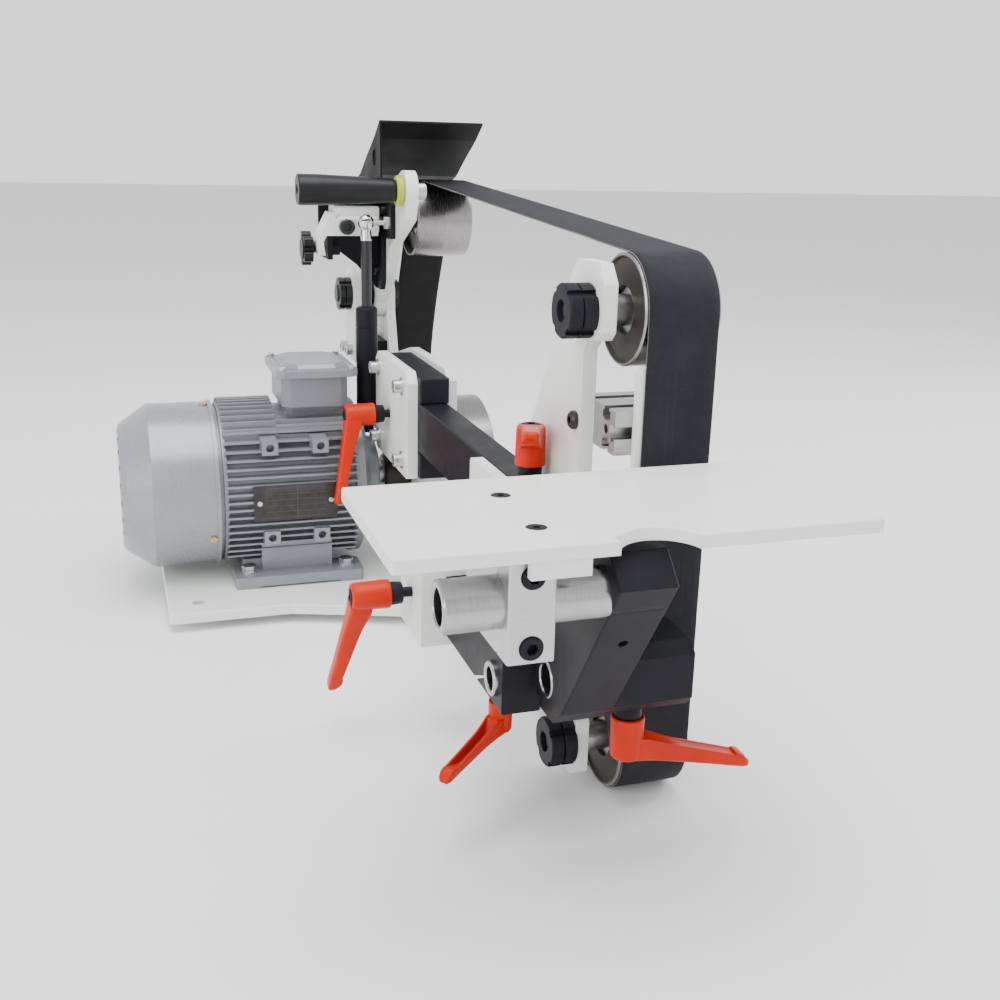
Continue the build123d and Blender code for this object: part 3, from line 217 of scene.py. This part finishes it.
def bare_metal(name, colour, rough=0.28, brush=(400.0, 400.0, 400.0), spread=0.12, strength=0.12):
    """Bare or plated metal; the brush stretches its fine marks."""
    t = Tree(name)
    marks = t.noise(1.0, 4.0, 0.7, stretch=brush)
    cloud = t.noise(35.0, 4.0, 0.6)
    tone = t.mix(t.ramp(marks, 0.25, 0.75), tuple(c * 0.82 for c in colour), colour)
    tone = t.mix(t.ramp(cloud, 0.45, 0.8, 0.0, 0.35), tone, tuple(c * 0.72 for c in colour))
    t.bump(marks, strength, 0.0002, 0.0006)
    return t.finish(tone, t.ramp(marks, 0.2, 0.8, rough - spread / 2, rough + spread), 1.0)


def turned_metal(name, colour, y, z, rim, rough=0.24, web=(0.065, 0.055, 0.048)):
    """Lathe-turned metal about an axis along X through (y, z), with darker side webs inside the rim."""
    t = Tree(name)
    x_at, y_at, z_at = t.split()
    dy = t.math("SUBTRACT", y_at, y)
    dz = t.math("SUBTRACT", z_at, z)
    radius = t.math("SQRT", t.math("ADD", t.math("MULTIPLY", dy, dy), t.math("MULTIPLY", dz, dz)))
    angle = t.math("ARCTAN2", dz, dy)
    rings = t.noise(1.0, 5.0, 0.75, vector=t.join(t.math("MULTIPLY", x_at, 1100.0),
                                                 t.math("MULTIPLY", radius, 1600.0), angle))
    smear = t.noise(2.2, 3.0, 0.6, vector=t.join(t.math("MULTIPLY", x_at, 8.0), angle, 0.0))
    tone = t.mix(t.ramp(rings, 0.3, 0.7), tuple(c * 0.86 for c in colour), colour)
    tone = t.mix(t.ramp(smear, 0.35, 0.75, 0.0, 0.4), tone, tuple(c * 0.62 for c in colour))
    inside = t.ramp(radius, rim - 0.0022, rim - 0.0014, 1.0, 0.0)
    tone = t.mix(inside, tone, t.mix(t.ramp(rings, 0.3, 0.7), tuple(c * 0.7 for c in web), web))
    t.bump(rings, 0.12, 0.00012, 0.0006)
    rough = t.math("ADD", t.ramp(rings, 0.2, 0.8, rough - 0.04, rough + 0.10), t.math("MULTIPLY", inside, 0.16))
    return t.finish(tone, rough, t.ramp(inside, 0.0, 1.0, 1.0, 0.75))


def moulded(name, colour, rough=0.38, grain=1500.0, strength=0.12, shade=0.8, specular=0.3):
    """Moulded plastic with a fine spark-eroded skin."""
    t = Tree(name)
    skin = t.noise(grain, 2.0, 0.5)
    flow = t.noise(30.0, 3.0, 0.6)
    tone = t.mix(t.ramp(flow, 0.3, 0.75), tuple(c * shade for c in colour), colour)
    t.bump(skin, strength, 0.0003, 0.0006)
    return t.finish(tone, t.ramp(skin, 0.2, 0.8, rough - 0.05, rough + 0.08), specular=specular)


def two_tone(name, mask, first, second):
    """One metal or paint where mask is 0, another where it is 1; each is (colour, rough, metallic)."""
    t = Tree(name)
    place = mask(t)
    marks = t.noise(900.0, 3.0, 0.6)
    shade = t.ramp(marks, 0.25, 0.75, 0.8, 1.0)
    tone = t.mix(place, first[0], second[0])
    tone = t.mix(shade, (0.0, 0.0, 0.0), tone)
    t.bump(marks, 0.12, 0.0002, 0.0006)
    rough = t.math("ADD", t.ramp(place, 0.0, 1.0, first[1], second[1]), t.ramp(marks, 0.2, 0.8, -0.04, 0.08))
    return t.finish(tone, rough, t.ramp(place, 0.0, 1.0, first[2], second[2]))


ZINC = (0.66, 0.67, 0.66)
STEEL = (0.50, 0.50, 0.50)
BLACK_FINISH = ((0.007, 0.007, 0.009), 0.36, 0.0)
ZINC_FINISH = (ZINC, 0.26, 1.0)
BRASS_FINISH = ((0.70, 0.50, 0.24), 0.28, 1.0)
BRIGHT_FINISH = ((0.75, 0.75, 0.75), 0.12, 1.0)

PALE = (0.79, 0.825, 0.775)
GREY = (0.25, 0.26, 0.28)

pale = powder_coat("pale_powder_coat", PALE)
pale_clean = powder_coat("table_powder_coat", (0.82, 0.85, 0.80), 0.36)
black = black_coat("satin_black")
black_sheet = black_coat("black_sheet", (0.0035, 0.0035, 0.004), 0.55, 1600.0, (0.012, 0.012, 0.012))
zinc = bare_metal("zinc_plate", ZINC, 0.26)
steel = bare_metal("machined_steel", STEEL, 0.30)
chrome = bare_metal("polished_tube", (0.44, 0.43, 0.44), 0.20, (900.0, 60.0, 60.0), 0.08, 0.06)
aluminium = bare_metal("milled_aluminium", (0.58, 0.58, 0.59), 0.36, (60.0, 60.0, 900.0), 0.14, 0.16)
extruded = bare_metal("extruded_aluminium", (0.50, 0.48, 0.48), 0.32, (60.0, 700.0, 700.0), 0.12, 0.1)
cast_grey = cast_paint("motor_enamel", GREY)
cowl_grey = cast_paint("cowl_enamel", (0.29, 0.295, 0.315), 0.28, 500.0, 0.1)
foot_grey = cast_paint("foot_enamel", (0.26, 0.28, 0.31), 0.42, 500.0, 0.45)
black_plastic = moulded("black_plastic", (0.007, 0.007, 0.008), 0.34, specular=0.3)
orange = moulded("orange_nylon", (0.56, 0.017, 0.0), 0.30, 1800.0, 0.10, 0.86, 0.16)
green = moulded("yellow_green_collar", (0.46, 0.55, 0.05), 0.22, 900.0, 0.05)
white_plate = moulded("white_plate", (0.82, 0.83, 0.81), 0.25, 900.0, 0.04, 0.95)


def layer_stack():
    """Core plates with their thin seams for the stator."""
    t = Tree("laminations")
    x_at, _, _ = t.split()
    seams = t.math("SINE", t.math("MULTIPLY", x_at, 9000.0))
    tone = t.mix(t.ramp(seams, -1.0, 1.0), (0.05, 0.05, 0.055), (0.16, 0.15, 0.15))
    t.bump(seams, 0.3, 0.0002)
    return t.finish(tone, 0.5, 0.6)


def blank_label():
    """Nameplate with blank ruled fields and no lettering."""
    t = Tree("blank_label")
    x_at, _, z_at = t.split()
    low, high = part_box("nameplate")
    u = t.ramp(x_at, low.x, high.x)
    v = t.ramp(z_at, low.z, high.z)
    rows = t.math("FRACT", t.math("MULTIPLY", v, 6.0))
    line = t.math("LESS_THAN", t.math("ABSOLUTE", t.math("SUBTRACT", rows, 0.5)), 0.055)
    inside = t.math("MULTIPLY", t.math("GREATER_THAN", u, 0.14), t.math("LESS_THAN", u, 0.86))
    column = t.math("LESS_THAN", t.math("ABSOLUTE", t.math("SUBTRACT", u, 0.52)), 0.006)
    head = t.math("GREATER_THAN", v, 0.80)
    ink = t.math("MAXIMUM", t.math("MULTIPLY", line, inside), t.math("MULTIPLY", column, inside), True)
    grime = t.noise(120.0, 4.0, 0.65)
    tone = t.mix(t.ramp(grime, 0.3, 0.75), (0.022, 0.021, 0.020), (0.046, 0.043, 0.040))
    tone = t.mix(t.math("MULTIPLY", ink, 0.3), tone, (0.12, 0.115, 0.105))
    tone = t.mix(t.math("MULTIPLY", t.math("MULTIPLY", head, inside), 0.3), tone, (0.07, 0.068, 0.065))
    t.bump(grime, 0.1, 0.0002)
    return t.finish(tone, t.ramp(grime, 0.2, 0.8, 0.3, 0.5), 0.4)


def grit_cloth():
    """Outer face of the belt: packed dark grains over cloth."""
    t = Tree("abrasive_grit")
    grains = t.voronoi(2600.0)
    fine = t.noise(5200.0, 2.0, 0.6)
    patch = t.noise(26.0, 4.0, 0.65)
    streak = t.noise(1.0, 3.0, 0.6, stretch=(420.0, 9.0, 9.0))
    tone = t.mix(t.ramp(patch, 0.3, 0.72), (0.008, 0.0083, 0.011), (0.017, 0.0175, 0.022))
    tone = t.mix(t.ramp(grains, 0.05, 0.4, 0.55, 0.0), tone, (0.05, 0.05, 0.058))
    tone = t.mix(t.ramp(streak, 0.6, 0.8, 0.0, 0.25), tone, (0.045, 0.046, 0.052))
    height = t.math("ADD", grains, t.math("MULTIPLY", fine, 0.5))
    t.bump(height, 0.6, 0.0004)
    return t.finish(tone, 0.66, specular=0.2)


def backing_cloth():
    """Inner face of the belt: woven cloth."""
    t = Tree("belt_backing")
    x_at, y_at, z_at = t.split()
    warp = t.math("SINE", t.math("MULTIPLY", x_at, 9000.0))
    along = t.math("ADD", y_at, z_at)
    weft = t.math("SINE", t.math("MULTIPLY", along, 7000.0))
    weave = t.math("MULTIPLY", warp, weft)
    dirt = t.noise(40.0, 4.0, 0.6)
    tone = t.mix(t.ramp(weave, -1.0, 1.0), (0.010, 0.010, 0.011), (0.026, 0.025, 0.026))
    tone = t.mix(t.ramp(dirt, 0.4, 0.8, 0.0, 0.5), tone, (0.008, 0.008, 0.009))
    t.bump(weave, 0.4, 0.0003)
    return t.finish(tone, 0.8, specular=0.15)


def right_of(limit):
    return lambda t: t.math("GREATER_THAN", t.split()[0], limit)


def above(limit):
    return lambda t: t.math("GREATER_THAN", t.split()[2], limit)


def arm_screw_mask(t):
    """Zinc on the grip's bolt and the strut's ball stud."""
    x_at, y_at, _ = t.split()
    grip_side = t.math("LESS_THAN", y_at, GRIP_BOLT_Y)
    not_head = t.math("GREATER_THAN", x_at, BOLT_HEAD_X)
    return t.math("MULTIPLY", grip_side, not_head)


FINISH = {
    "base_plate": pale, "main_plate": pale, "side_plates": pale, "head_plates": pale, "rest_receiver": pale,
    "tension_arm": pale, "tracking_block": pale, "platen_plate": pale, "work_table": pale_clean,
    "frame_spacers": black, "tool_arm": black, "head_spacer": black, "rest_arm": black, "knuckle": black,
    "rest_link": black, "tracking_yoke": black, "belt_guard": black_sheet, "strut_cylinder": black,
    "wheel_nuts": black, "frame_bolts": zinc, "foot_bolts": zinc, "motor_housing": cast_grey,
    "end_shields": cast_grey, "fan_cowl": cowl_grey, "motor_feet": foot_grey, "terminal_lid": cast_grey,
    "nameplate": blank_label(), "stator": layer_stack(), "motor_bearings": steel, "rotor_shaft": steel,
    "cooling_fan": black_plastic, "platen_profiles": extruded, "wheel_axles": steel, "wheel_bearings": steel,
    "eye_tube": chrome, "rest_tubes": chrome, "table_clamp": aluminium, "table_pad": white_plate,
    "table_screws": black, "tension_grip": black_plastic, "grip_collar": green, "tracking_axle": steel,
    "tracking_knob": black_plastic, "strut_spring": steel,
    "pivot_pins": two_tone("pivot_pin_finish", above(PIN_SPLIT_Z), ZINC_FINISH, BLACK_FINISH),
    "terminal_box": two_tone("terminal_box_finish", right_of(BOX_PLUG_X), (GREY, 0.38, 0.35), BLACK_FINISH),
    "motor_screws": two_tone("motor_screw_finish", right_of(MOTOR_SCREW_X), BRASS_FINISH, ZINC_FINISH),
    "head_screws": two_tone("head_screw_finish", right_of(HEAD_SCREW_X), ZINC_FINISH, BLACK_FINISH),
    "arm_screws": two_tone("arm_screw_finish", arm_screw_mask, BLACK_FINISH, ZINC_FINISH),
    "strut_rod": two_tone("strut_rod_finish", above(ROD_END_Z), BLACK_FINISH, BRIGHT_FINISH),
}


def axis_of(node):
    """(y, z) of the centre of a turned node."""
    low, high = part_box(node)
    return (low.y + high.y) / 2, (low.z + high.z) / 2


for wheel in ("drive_wheel", "upper_wheel", "lower_wheel", "tracking_wheel"):
    wheel_low, wheel_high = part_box(wheel)
    rim_radius = (wheel_high.z - wheel_low.z) / 2
    FINISH[wheel] = turned_metal(wheel + "_turned", (0.34, 0.325, 0.32), *axis_of(wheel), rim_radius)

for node_name, finish_material in FINISH.items():
    for material_slot in NODES[node_name].material_slots:
        material_slot.link = "OBJECT"
        material_slot.material = finish_material


# ---------------------------------------------------------------- mesh helpers

def new_piece(name, bm, materials, body):
    """Turns a bmesh into an object that rides on a body."""
    bmesh.ops.recalc_face_normals(bm, faces=bm.faces)
    mesh = bpy.data.meshes.new(name)
    bm.to_mesh(mesh)
    bm.free()
    mesh.polygons.foreach_set("use_smooth", [True] * len(mesh.polygons))
    for material in materials:
        mesh.materials.append(material)
    piece = bpy.data.objects.new(name, mesh)
    bpy.context.scene.collection.objects.link(piece)
    if body:
        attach(piece, body)
    return piece


def soften(piece, width):
    """Rounds the sharp edges of a piece."""
    bevel = piece.modifiers.new("bevel", "BEVEL")
    bevel.width = width
    bevel.segments = 3
    bevel.limit_method = "ANGLE"
    bevel.angle_limit = math.radians(SHARP_EDGE)
    bevel.harden_normals = False


def loft(bm, rings):
    """Skins a list of equal-length closed point rings and caps both ends."""
    rows = [[bm.verts.new(p) for p in ring] for ring in rings]
    count = len(rows[0])
    for low, high in zip(rows, rows[1:]):
        for i in range(count):
            j = (i + 1) % count
            bm.faces.new((low[i], low[j], high[j], high[i]))
    for row in (rows[0][::-1], rows[-1]):
        bm.faces.new(row)


def lathe(bm, profile, place, steps=48):
    """Turned form from (r, z) points about the local Z axis, placed by a matrix."""
    rings = []
    for r, z in profile:
        ring = []
        for i in range(steps):
            a = 2 * math.pi * i / steps
            ring.append(place @ Vector((r * math.cos(a), r * math.sin(a), z)))
        rings.append(ring)
    loft(bm, rings)


def place_axes(origin, x_dir, z_dir, size=1.0):
    """Matrix from millimetres on a local frame to metres in the row's frame."""
    z_axis = Vector(z_dir).normalized()
    x_axis = Vector(x_dir)
    x_axis = (x_axis - x_axis.dot(z_axis) * z_axis).normalized()
    y_axis = z_axis.cross(x_axis)
    turn = Matrix((x_axis, y_axis, z_axis)).transposed().to_4x4()
    return Matrix.Translation(Vector(origin) * MM) @ turn @ Matrix.Scale(MM * size, 4)


# ---------------------------------------------------------------- clamping levers

LEVER_ARM = (
    # along the arm, underside height, thickness, width
    (5.0, 23.8, 17.0, 18.4), (12.0, 24.6, 16.8, 17.0), (20.0, 27.6, 15.2, 14.8), (30.0, 31.2, 13.5, 13.0),
    (46.0, 35.7, 12.0, 12.4), (62.0, 40.1, 10.5, 12.2), (76.0, 44.0, 9.3, 12.2), (84.0, 46.4, 8.4, 12.2),
    (87.5, 49.0, 5.8, 10.0), (88.8, 51.4, 2.2, 7.0),
)


def channel_ring(x, low, thick, width, hollow, place):
    """Cross-section of the lever's arm: rounded on top, with a groove or a deep channel underneath."""
    half = width / 2
    r = min(3.0, half * 0.5, thick * 0.4)
    top = low + thick
    points = [(-half, low)]
    for centre, start in (((-half + r, top - r), 180), ((half - r, top - r), 90)):
        for k in range(5):
            a = math.radians(start - 22.5 * k)
            points.append((centre[0] + r * math.cos(a), centre[1] + r * math.sin(a)))
    points.append((half, low))
    depth = max(0.3, min(thick - 3.4, 9.0)) if hollow else 0.25
    inner = half - 2.1
    points += [(inner, low), (inner, low + depth), (-inner, low + depth), (-inner, low)]
    return [place @ Vector((x, y, z)) for y, z in points]


def build_lever(node, body, origin, z_dir, x_dir, size, stud_end, hollow):
    """Orange handle with its black insert, in place of the plain solids."""
    place = place_axes(origin, x_dir, z_dir, size)
    bm = bmesh.new()
    rings = []
    for x, low, thick, width in LEVER_ARM:
        rings.append(channel_ring(x, low, thick, width, hollow and 18.0 < x < 70.0, place))
    loft(bm, rings)
    hub = [(7.1, 10.6), (10.4, 9.6), (11.2, 10.2), (11.35, 11.6), (10.8, 36.6), (10.3, 38.6), (9.2, 39.7),
           (7.4, 39.9), (7.1, 39.4), (7.1, 30.0)]
    lathe(bm, hub, place)
    ridge = []
    for x, drop in ((77.2, 0.2), (78.4, 2.0), (82.6, 2.2), (85.4, 0.2)):
        base = 45.0 + (x - 77.2) * 0.3
        section = ((-6.0, 1.4), (-5.7, -drop), (5.7, -drop), (6.0, 1.4))
        ridge.append([place @ Vector((x, y, base + dz)) for y, dz in section])
    loft(bm, ridge)
    handle = new_piece(node + "_handle", bm, [orange], body)
    soften(handle, 0.0005 * size)
    bm = bmesh.new()
    insert = [(4.0, 0.0), (8.1, 0.0), (8.6, 0.6), (9.3, 9.0), (9.0, 9.3), (7.0, 9.4), (7.0, 38.4), (6.4, 38.8),
              (6.1, 40.2), (5.6, 40.7), (3.1, 40.7), (2.9, 38.4), (0.2, 38.2)]
    lathe(bm, insert, place)
    stud = [(3.4, 0.3), (4.0, 0.0), (4.0, -stud_end), (3.4, -stud_end - 0.6)]
    lathe(bm, stud, place, 24)
    core = new_piece(node + "_insert", bm, [black], body)
    soften(core, 0.0004 * size)
    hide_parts(node)
    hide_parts(node)


LEVERS = (
    # node, body, foot in mm, stud's opposite direction, arm's direction, size, stud length, hollow
    ("lever_arm", "arm_clamp_lever", (-94, -80, 183), (-1, 0, 0), (0, -0.25, -0.968), 1.0, 15.6, False),
    ("lever_rest", "rest_clamp_lever", (-149, -387, 111), (-1, 0, 0), (0, 0.27, -0.963), 1.0, 27.0, False),
    ("lever_eye", "eye_clamp_lever", (-108, -512, 81.5), (0, 0, -1), (-0.788, -0.616, 0), 0.76, 46.0, True),
    ("lever_link", "link_clamp_lever", (-41, -577, 95.2), (0, 0, -1), (0.996, -0.087, 0), 1.0, 10.0, False),
    ("lever_head", "head_clamp_lever", (-64, -435, 211.5), (0, 0, 1), (-0.342, -0.94, 0), 1.0, 69.0, False),
)


# ---------------------------------------------------------------- belt

BELT_WIDTH = 50.0
BELT_THICK = 1.2
BELT_GAP = 0.3
SEGMENTS_ACROSS = 10
LEAVE_DRUM = 52.0
LEAVE_DRIVE = -42.0
SLACK_BOW = ((103, 372), (129, 320), (159, 260), (179.6, 196), (176, 138), (132, 74))


def wheel_circle(node, gap):
    """(y, z, radius) of a wheel in millimetres."""
    low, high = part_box(node)
    return ((low.y + high.y) / 2 / MM, (low.z + high.z) / 2 / MM, (high.z - low.z) / 2 / MM + gap)


def arc(circle, start, end, step=6.0):
    """Points on a circle between two angles in degrees."""
    y, z, r = circle
    count = max(2, int(abs(end - start) * math.pi / 180 * r / step))
    out = []
    for i in range(count + 1):
        a = math.radians(start + (end - start) * i / count)
        out.append((y + r * math.cos(a), z + r * math.sin(a)))
    return out


def tangent_angle(a, b, side):
    """Angle in degrees at which a common outer tangent touches both circles."""
    dy, dz = b[0] - a[0], b[1] - a[1]
    lean = math.acos((a[2] - b[2]) / math.hypot(dy, dz))
    return math.degrees(math.atan2(dz, dy) + side * lean)


def along_circle(angle, size):
    """Vector of a given size along a circle at an angle in degrees."""
    turned = math.radians(angle + 90)
    return math.cos(turned) * size, math.sin(turned) * size


def hermite(p0, p1, m0, m1, count):
    """Smooth run between two points with given end slopes."""
    out = []
    for i in range(1, count):
        t = i / count
        a, b = 2 * t ** 3 - 3 * t ** 2 + 1, t ** 3 - 2 * t ** 2 + t
        c, d = -2 * t ** 3 + 3 * t ** 2, t ** 3 - t ** 2
        out.append(tuple(a * p0[k] + b * m0[k] + c * p1[k] + d * m1[k] for k in (0, 1)))
    return out


def straight(p0, p1, step=12.0):
    """Points between two ends, ends left out."""
    count = max(2, int(math.dist(p0, p1) / step))
    return [(p0[0] + (p1[0] - p0[0]) * i / count, p0[1] + (p1[1] - p0[1]) * i / count) for i in range(1, count)]


def belt_outline():
    """Closed (y, z) loop round the four wheels, with a slack bow behind the frame."""
    gap = BELT_GAP
    upper, lower = wheel_circle("upper_wheel", gap), wheel_circle("lower_wheel", gap)
    drive, drum = wheel_circle("drive_wheel", gap), wheel_circle("tracking_wheel", gap)
    top = tangent_angle(upper, drum, 1)
    bottom = tangent_angle(lower, drive, -1)
    front = arc(upper, top, 180.0)
    under = arc(lower, 180.0, 360.0 + bottom)
    round_drive = arc(drive, bottom, LEAVE_DRIVE)
    round_drum = arc(drum, LEAVE_DRUM, top)
    knots = [round_drive[-1], *SLACK_BOW[::-1], round_drum[0]]
    slopes = [along_circle(LEAVE_DRIVE, 50)]
    for before, after in zip(knots, knots[2:]):
        slopes.append(((after[0] - before[0]) / 2, (after[1] - before[1]) / 2))
    slopes.append(along_circle(LEAVE_DRUM, 40))
    back = []
    for i in range(len(knots) - 1):
        back += hermite(knots[i], knots[i + 1], slopes[i], slopes[i + 1], 7)
        back.append(knots[i + 1])
    loop = front + straight(front[-1], under[0]) + under + straight(under[-1], round_drive[0]) + round_drive
    loop += back[:-1] + round_drum + straight(round_drum[-1], front[0])
    return loop


def belt():
    """Abrasive belt with a grit face outside, cloth inside and a slightly frayed pair of edges, whose light
    grey is partly the cut cloth's own colour and partly a painted highlight.
    """
    loop = belt_outline()
    count = len(loop)
    across = SEGMENTS_ACROSS
    bm = bmesh.new()
    skins = []
    for depth in (0.0, BELT_THICK):
        rows = []
        for i, (y, z) in enumerate(loop):
            y0, z0 = loop[i - 1]
            y1, z1 = loop[(i + 1) % count]
            ty, tz = y1 - y0, z1 - z0
            size = math.hypot(ty, tz)
            ny, nz = -tz / size, ty / size
            row = []
            for k in range(across + 1):
                u = k / across - 0.5
                fray = 0.12 * math.sin(i * 2.1) * math.sin(i * 0.37 + 1.0) if abs(u) > 0.49 else 0.0
                x = u * BELT_WIDTH - math.copysign(abs(fray), u)
                lift = depth - (0.12 * (2 * u) ** 4 if depth else 0.0)
                row.append(bm.verts.new(Vector((x, y - ny * lift, z - nz * lift)) * MM))
            rows.append(row)
        skins.append(rows)
    inner, outer = skins
    for i in range(count):
        j = (i + 1) % count
        for k in range(across):
            face = bm.faces.new((outer[i][k], outer[j][k], outer[j][k + 1], outer[i][k + 1]))
            face.material_index = 0
            face = bm.faces.new((inner[i][k], inner[i][k + 1], inner[j][k + 1], inner[j][k]))
            face.material_index = 1
        for k in (0, across):
            face = bm.faces.new((inner[i][k], inner[j][k], outer[j][k], outer[i][k]))
            face.material_index = 2
    # Light grey on the belt's edges: partly the cut cloth's own colour, partly a painted highlight along the
    # edges.
    edge_tone_and_highlight = moulded("belt_edge_tone_and_painted_highlight", (0.20, 0.19, 0.18), 0.8, 2500.0, 0.4, 0.5)
    piece = new_piece("belt", bm, [grit_cloth(), backing_cloth(), edge_tone_and_highlight], None)
    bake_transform(piece)
    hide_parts("abrasive_belt")


for lever in LEVERS:
    build_lever(*lever)
belt()


# ---------------------------------------------------------------- light, floor and camera

FLOOR_REACH = 12.0
LIGHT_AIM = (-0.1, -0.25, 0.2)
LAMPS = (
    # name, place, width, height, power
    ("key_overhead", (-0.3, -0.5, 2.2), 1.8, 1.8, 58.0),
    ("fill_left", (-2.2, -1.4, 1.1), 0.8, 1.6, 24.0),
    ("rim_right", (1.9, -0.2, 1.3), 0.7, 1.6, 26.0),
)


def area_light(name, place, width, height, power):
    """Soft white rectangular lamp aimed at the machine."""
    data = bpy.data.lights.new(name, "AREA")
    data.shape = "RECTANGLE"
    data.size = width
    data.size_y = height
    data.energy = power
    lamp = bpy.data.objects.new(name, data)
    lamp.location = place
    lamp.rotation_euler = (Vector(LIGHT_AIM) - Vector(place)).to_track_quat("-Z", "Y").to_euler()
    bpy.context.scene.collection.objects.link(lamp)


def studio():
    """World that greys a little overhead, pale floor and three large soft lamps."""
    world = bpy.data.worlds.new("studio")
    world.use_nodes = True
    backdrop = world.node_tree.nodes["Background"]
    nodes, links = world.node_tree.nodes, world.node_tree.links
    coord = nodes.new("ShaderNodeTexCoord")
    split = nodes.new("ShaderNodeSeparateXYZ")
    shade = nodes.new("ShaderNodeValToRGB")
    links.new(coord.outputs["Generated"], split.inputs[0])
    links.new(split.outputs["Z"], shade.inputs["Fac"])
    links.new(shade.outputs["Color"], backdrop.inputs["Color"])
    shade.color_ramp.elements[0].color = (1.0, 1.0, 1.0, 1.0)
    shade.color_ramp.elements[0].position = 0.16
    shade.color_ramp.elements[1].color = (0.72, 0.73, 0.75, 1.0)
    shade.color_ramp.elements[1].position = 0.62
    backdrop.inputs["Strength"].default_value = 1.5
    bpy.context.scene.world = world
    for lamp in LAMPS:
        area_light(*lamp)
    mesh = bpy.data.meshes.new("floor")
    depth = cad_box[0][2] - 0.0005
    corners = ((-1, -1), (1, -1), (1, 1), (-1, 1))
    mesh.from_pydata([(x * FLOOR_REACH, y * FLOOR_REACH, depth) for x, y in corners], [], [(0, 1, 2, 3)])
    floor = bpy.data.objects.new("floor", mesh)
    bpy.context.scene.collection.objects.link(floor)
    t = Tree("pale_floor")
    mottle = t.noise(6.0, 3.0, 0.5)
    t.bump(mottle, 0.02, 0.001)
    tone = t.mix(mottle, (0.86, 0.86, 0.86), (0.89, 0.89, 0.89))
    mesh.materials.append(t.finish(tone, 0.85, specular=0.2))


def camera():
    """Three-quarter view from the front left, a little above the work table."""
    right = Vector((0.94996, -0.31139, 0.02476))
    down = Vector((-0.06421, -0.27222, -0.96009))
    forward = Vector((0.30570, 0.91046, -0.27859))
    data = bpy.data.cameras.new("camera")
    data.sensor_width = 36.0
    data.lens = 42.1
    data.shift_y = -0.0123
    eye = bpy.data.objects.new("camera", data)
    turn = Matrix((right, -down, -forward)).transposed().to_4x4()
    eye.matrix_world = Matrix.Translation((-0.3485, -1.2147, 0.4435)) @ turn
    bpy.context.scene.collection.objects.link(eye)
    bpy.context.scene.camera = eye


studio()
camera()
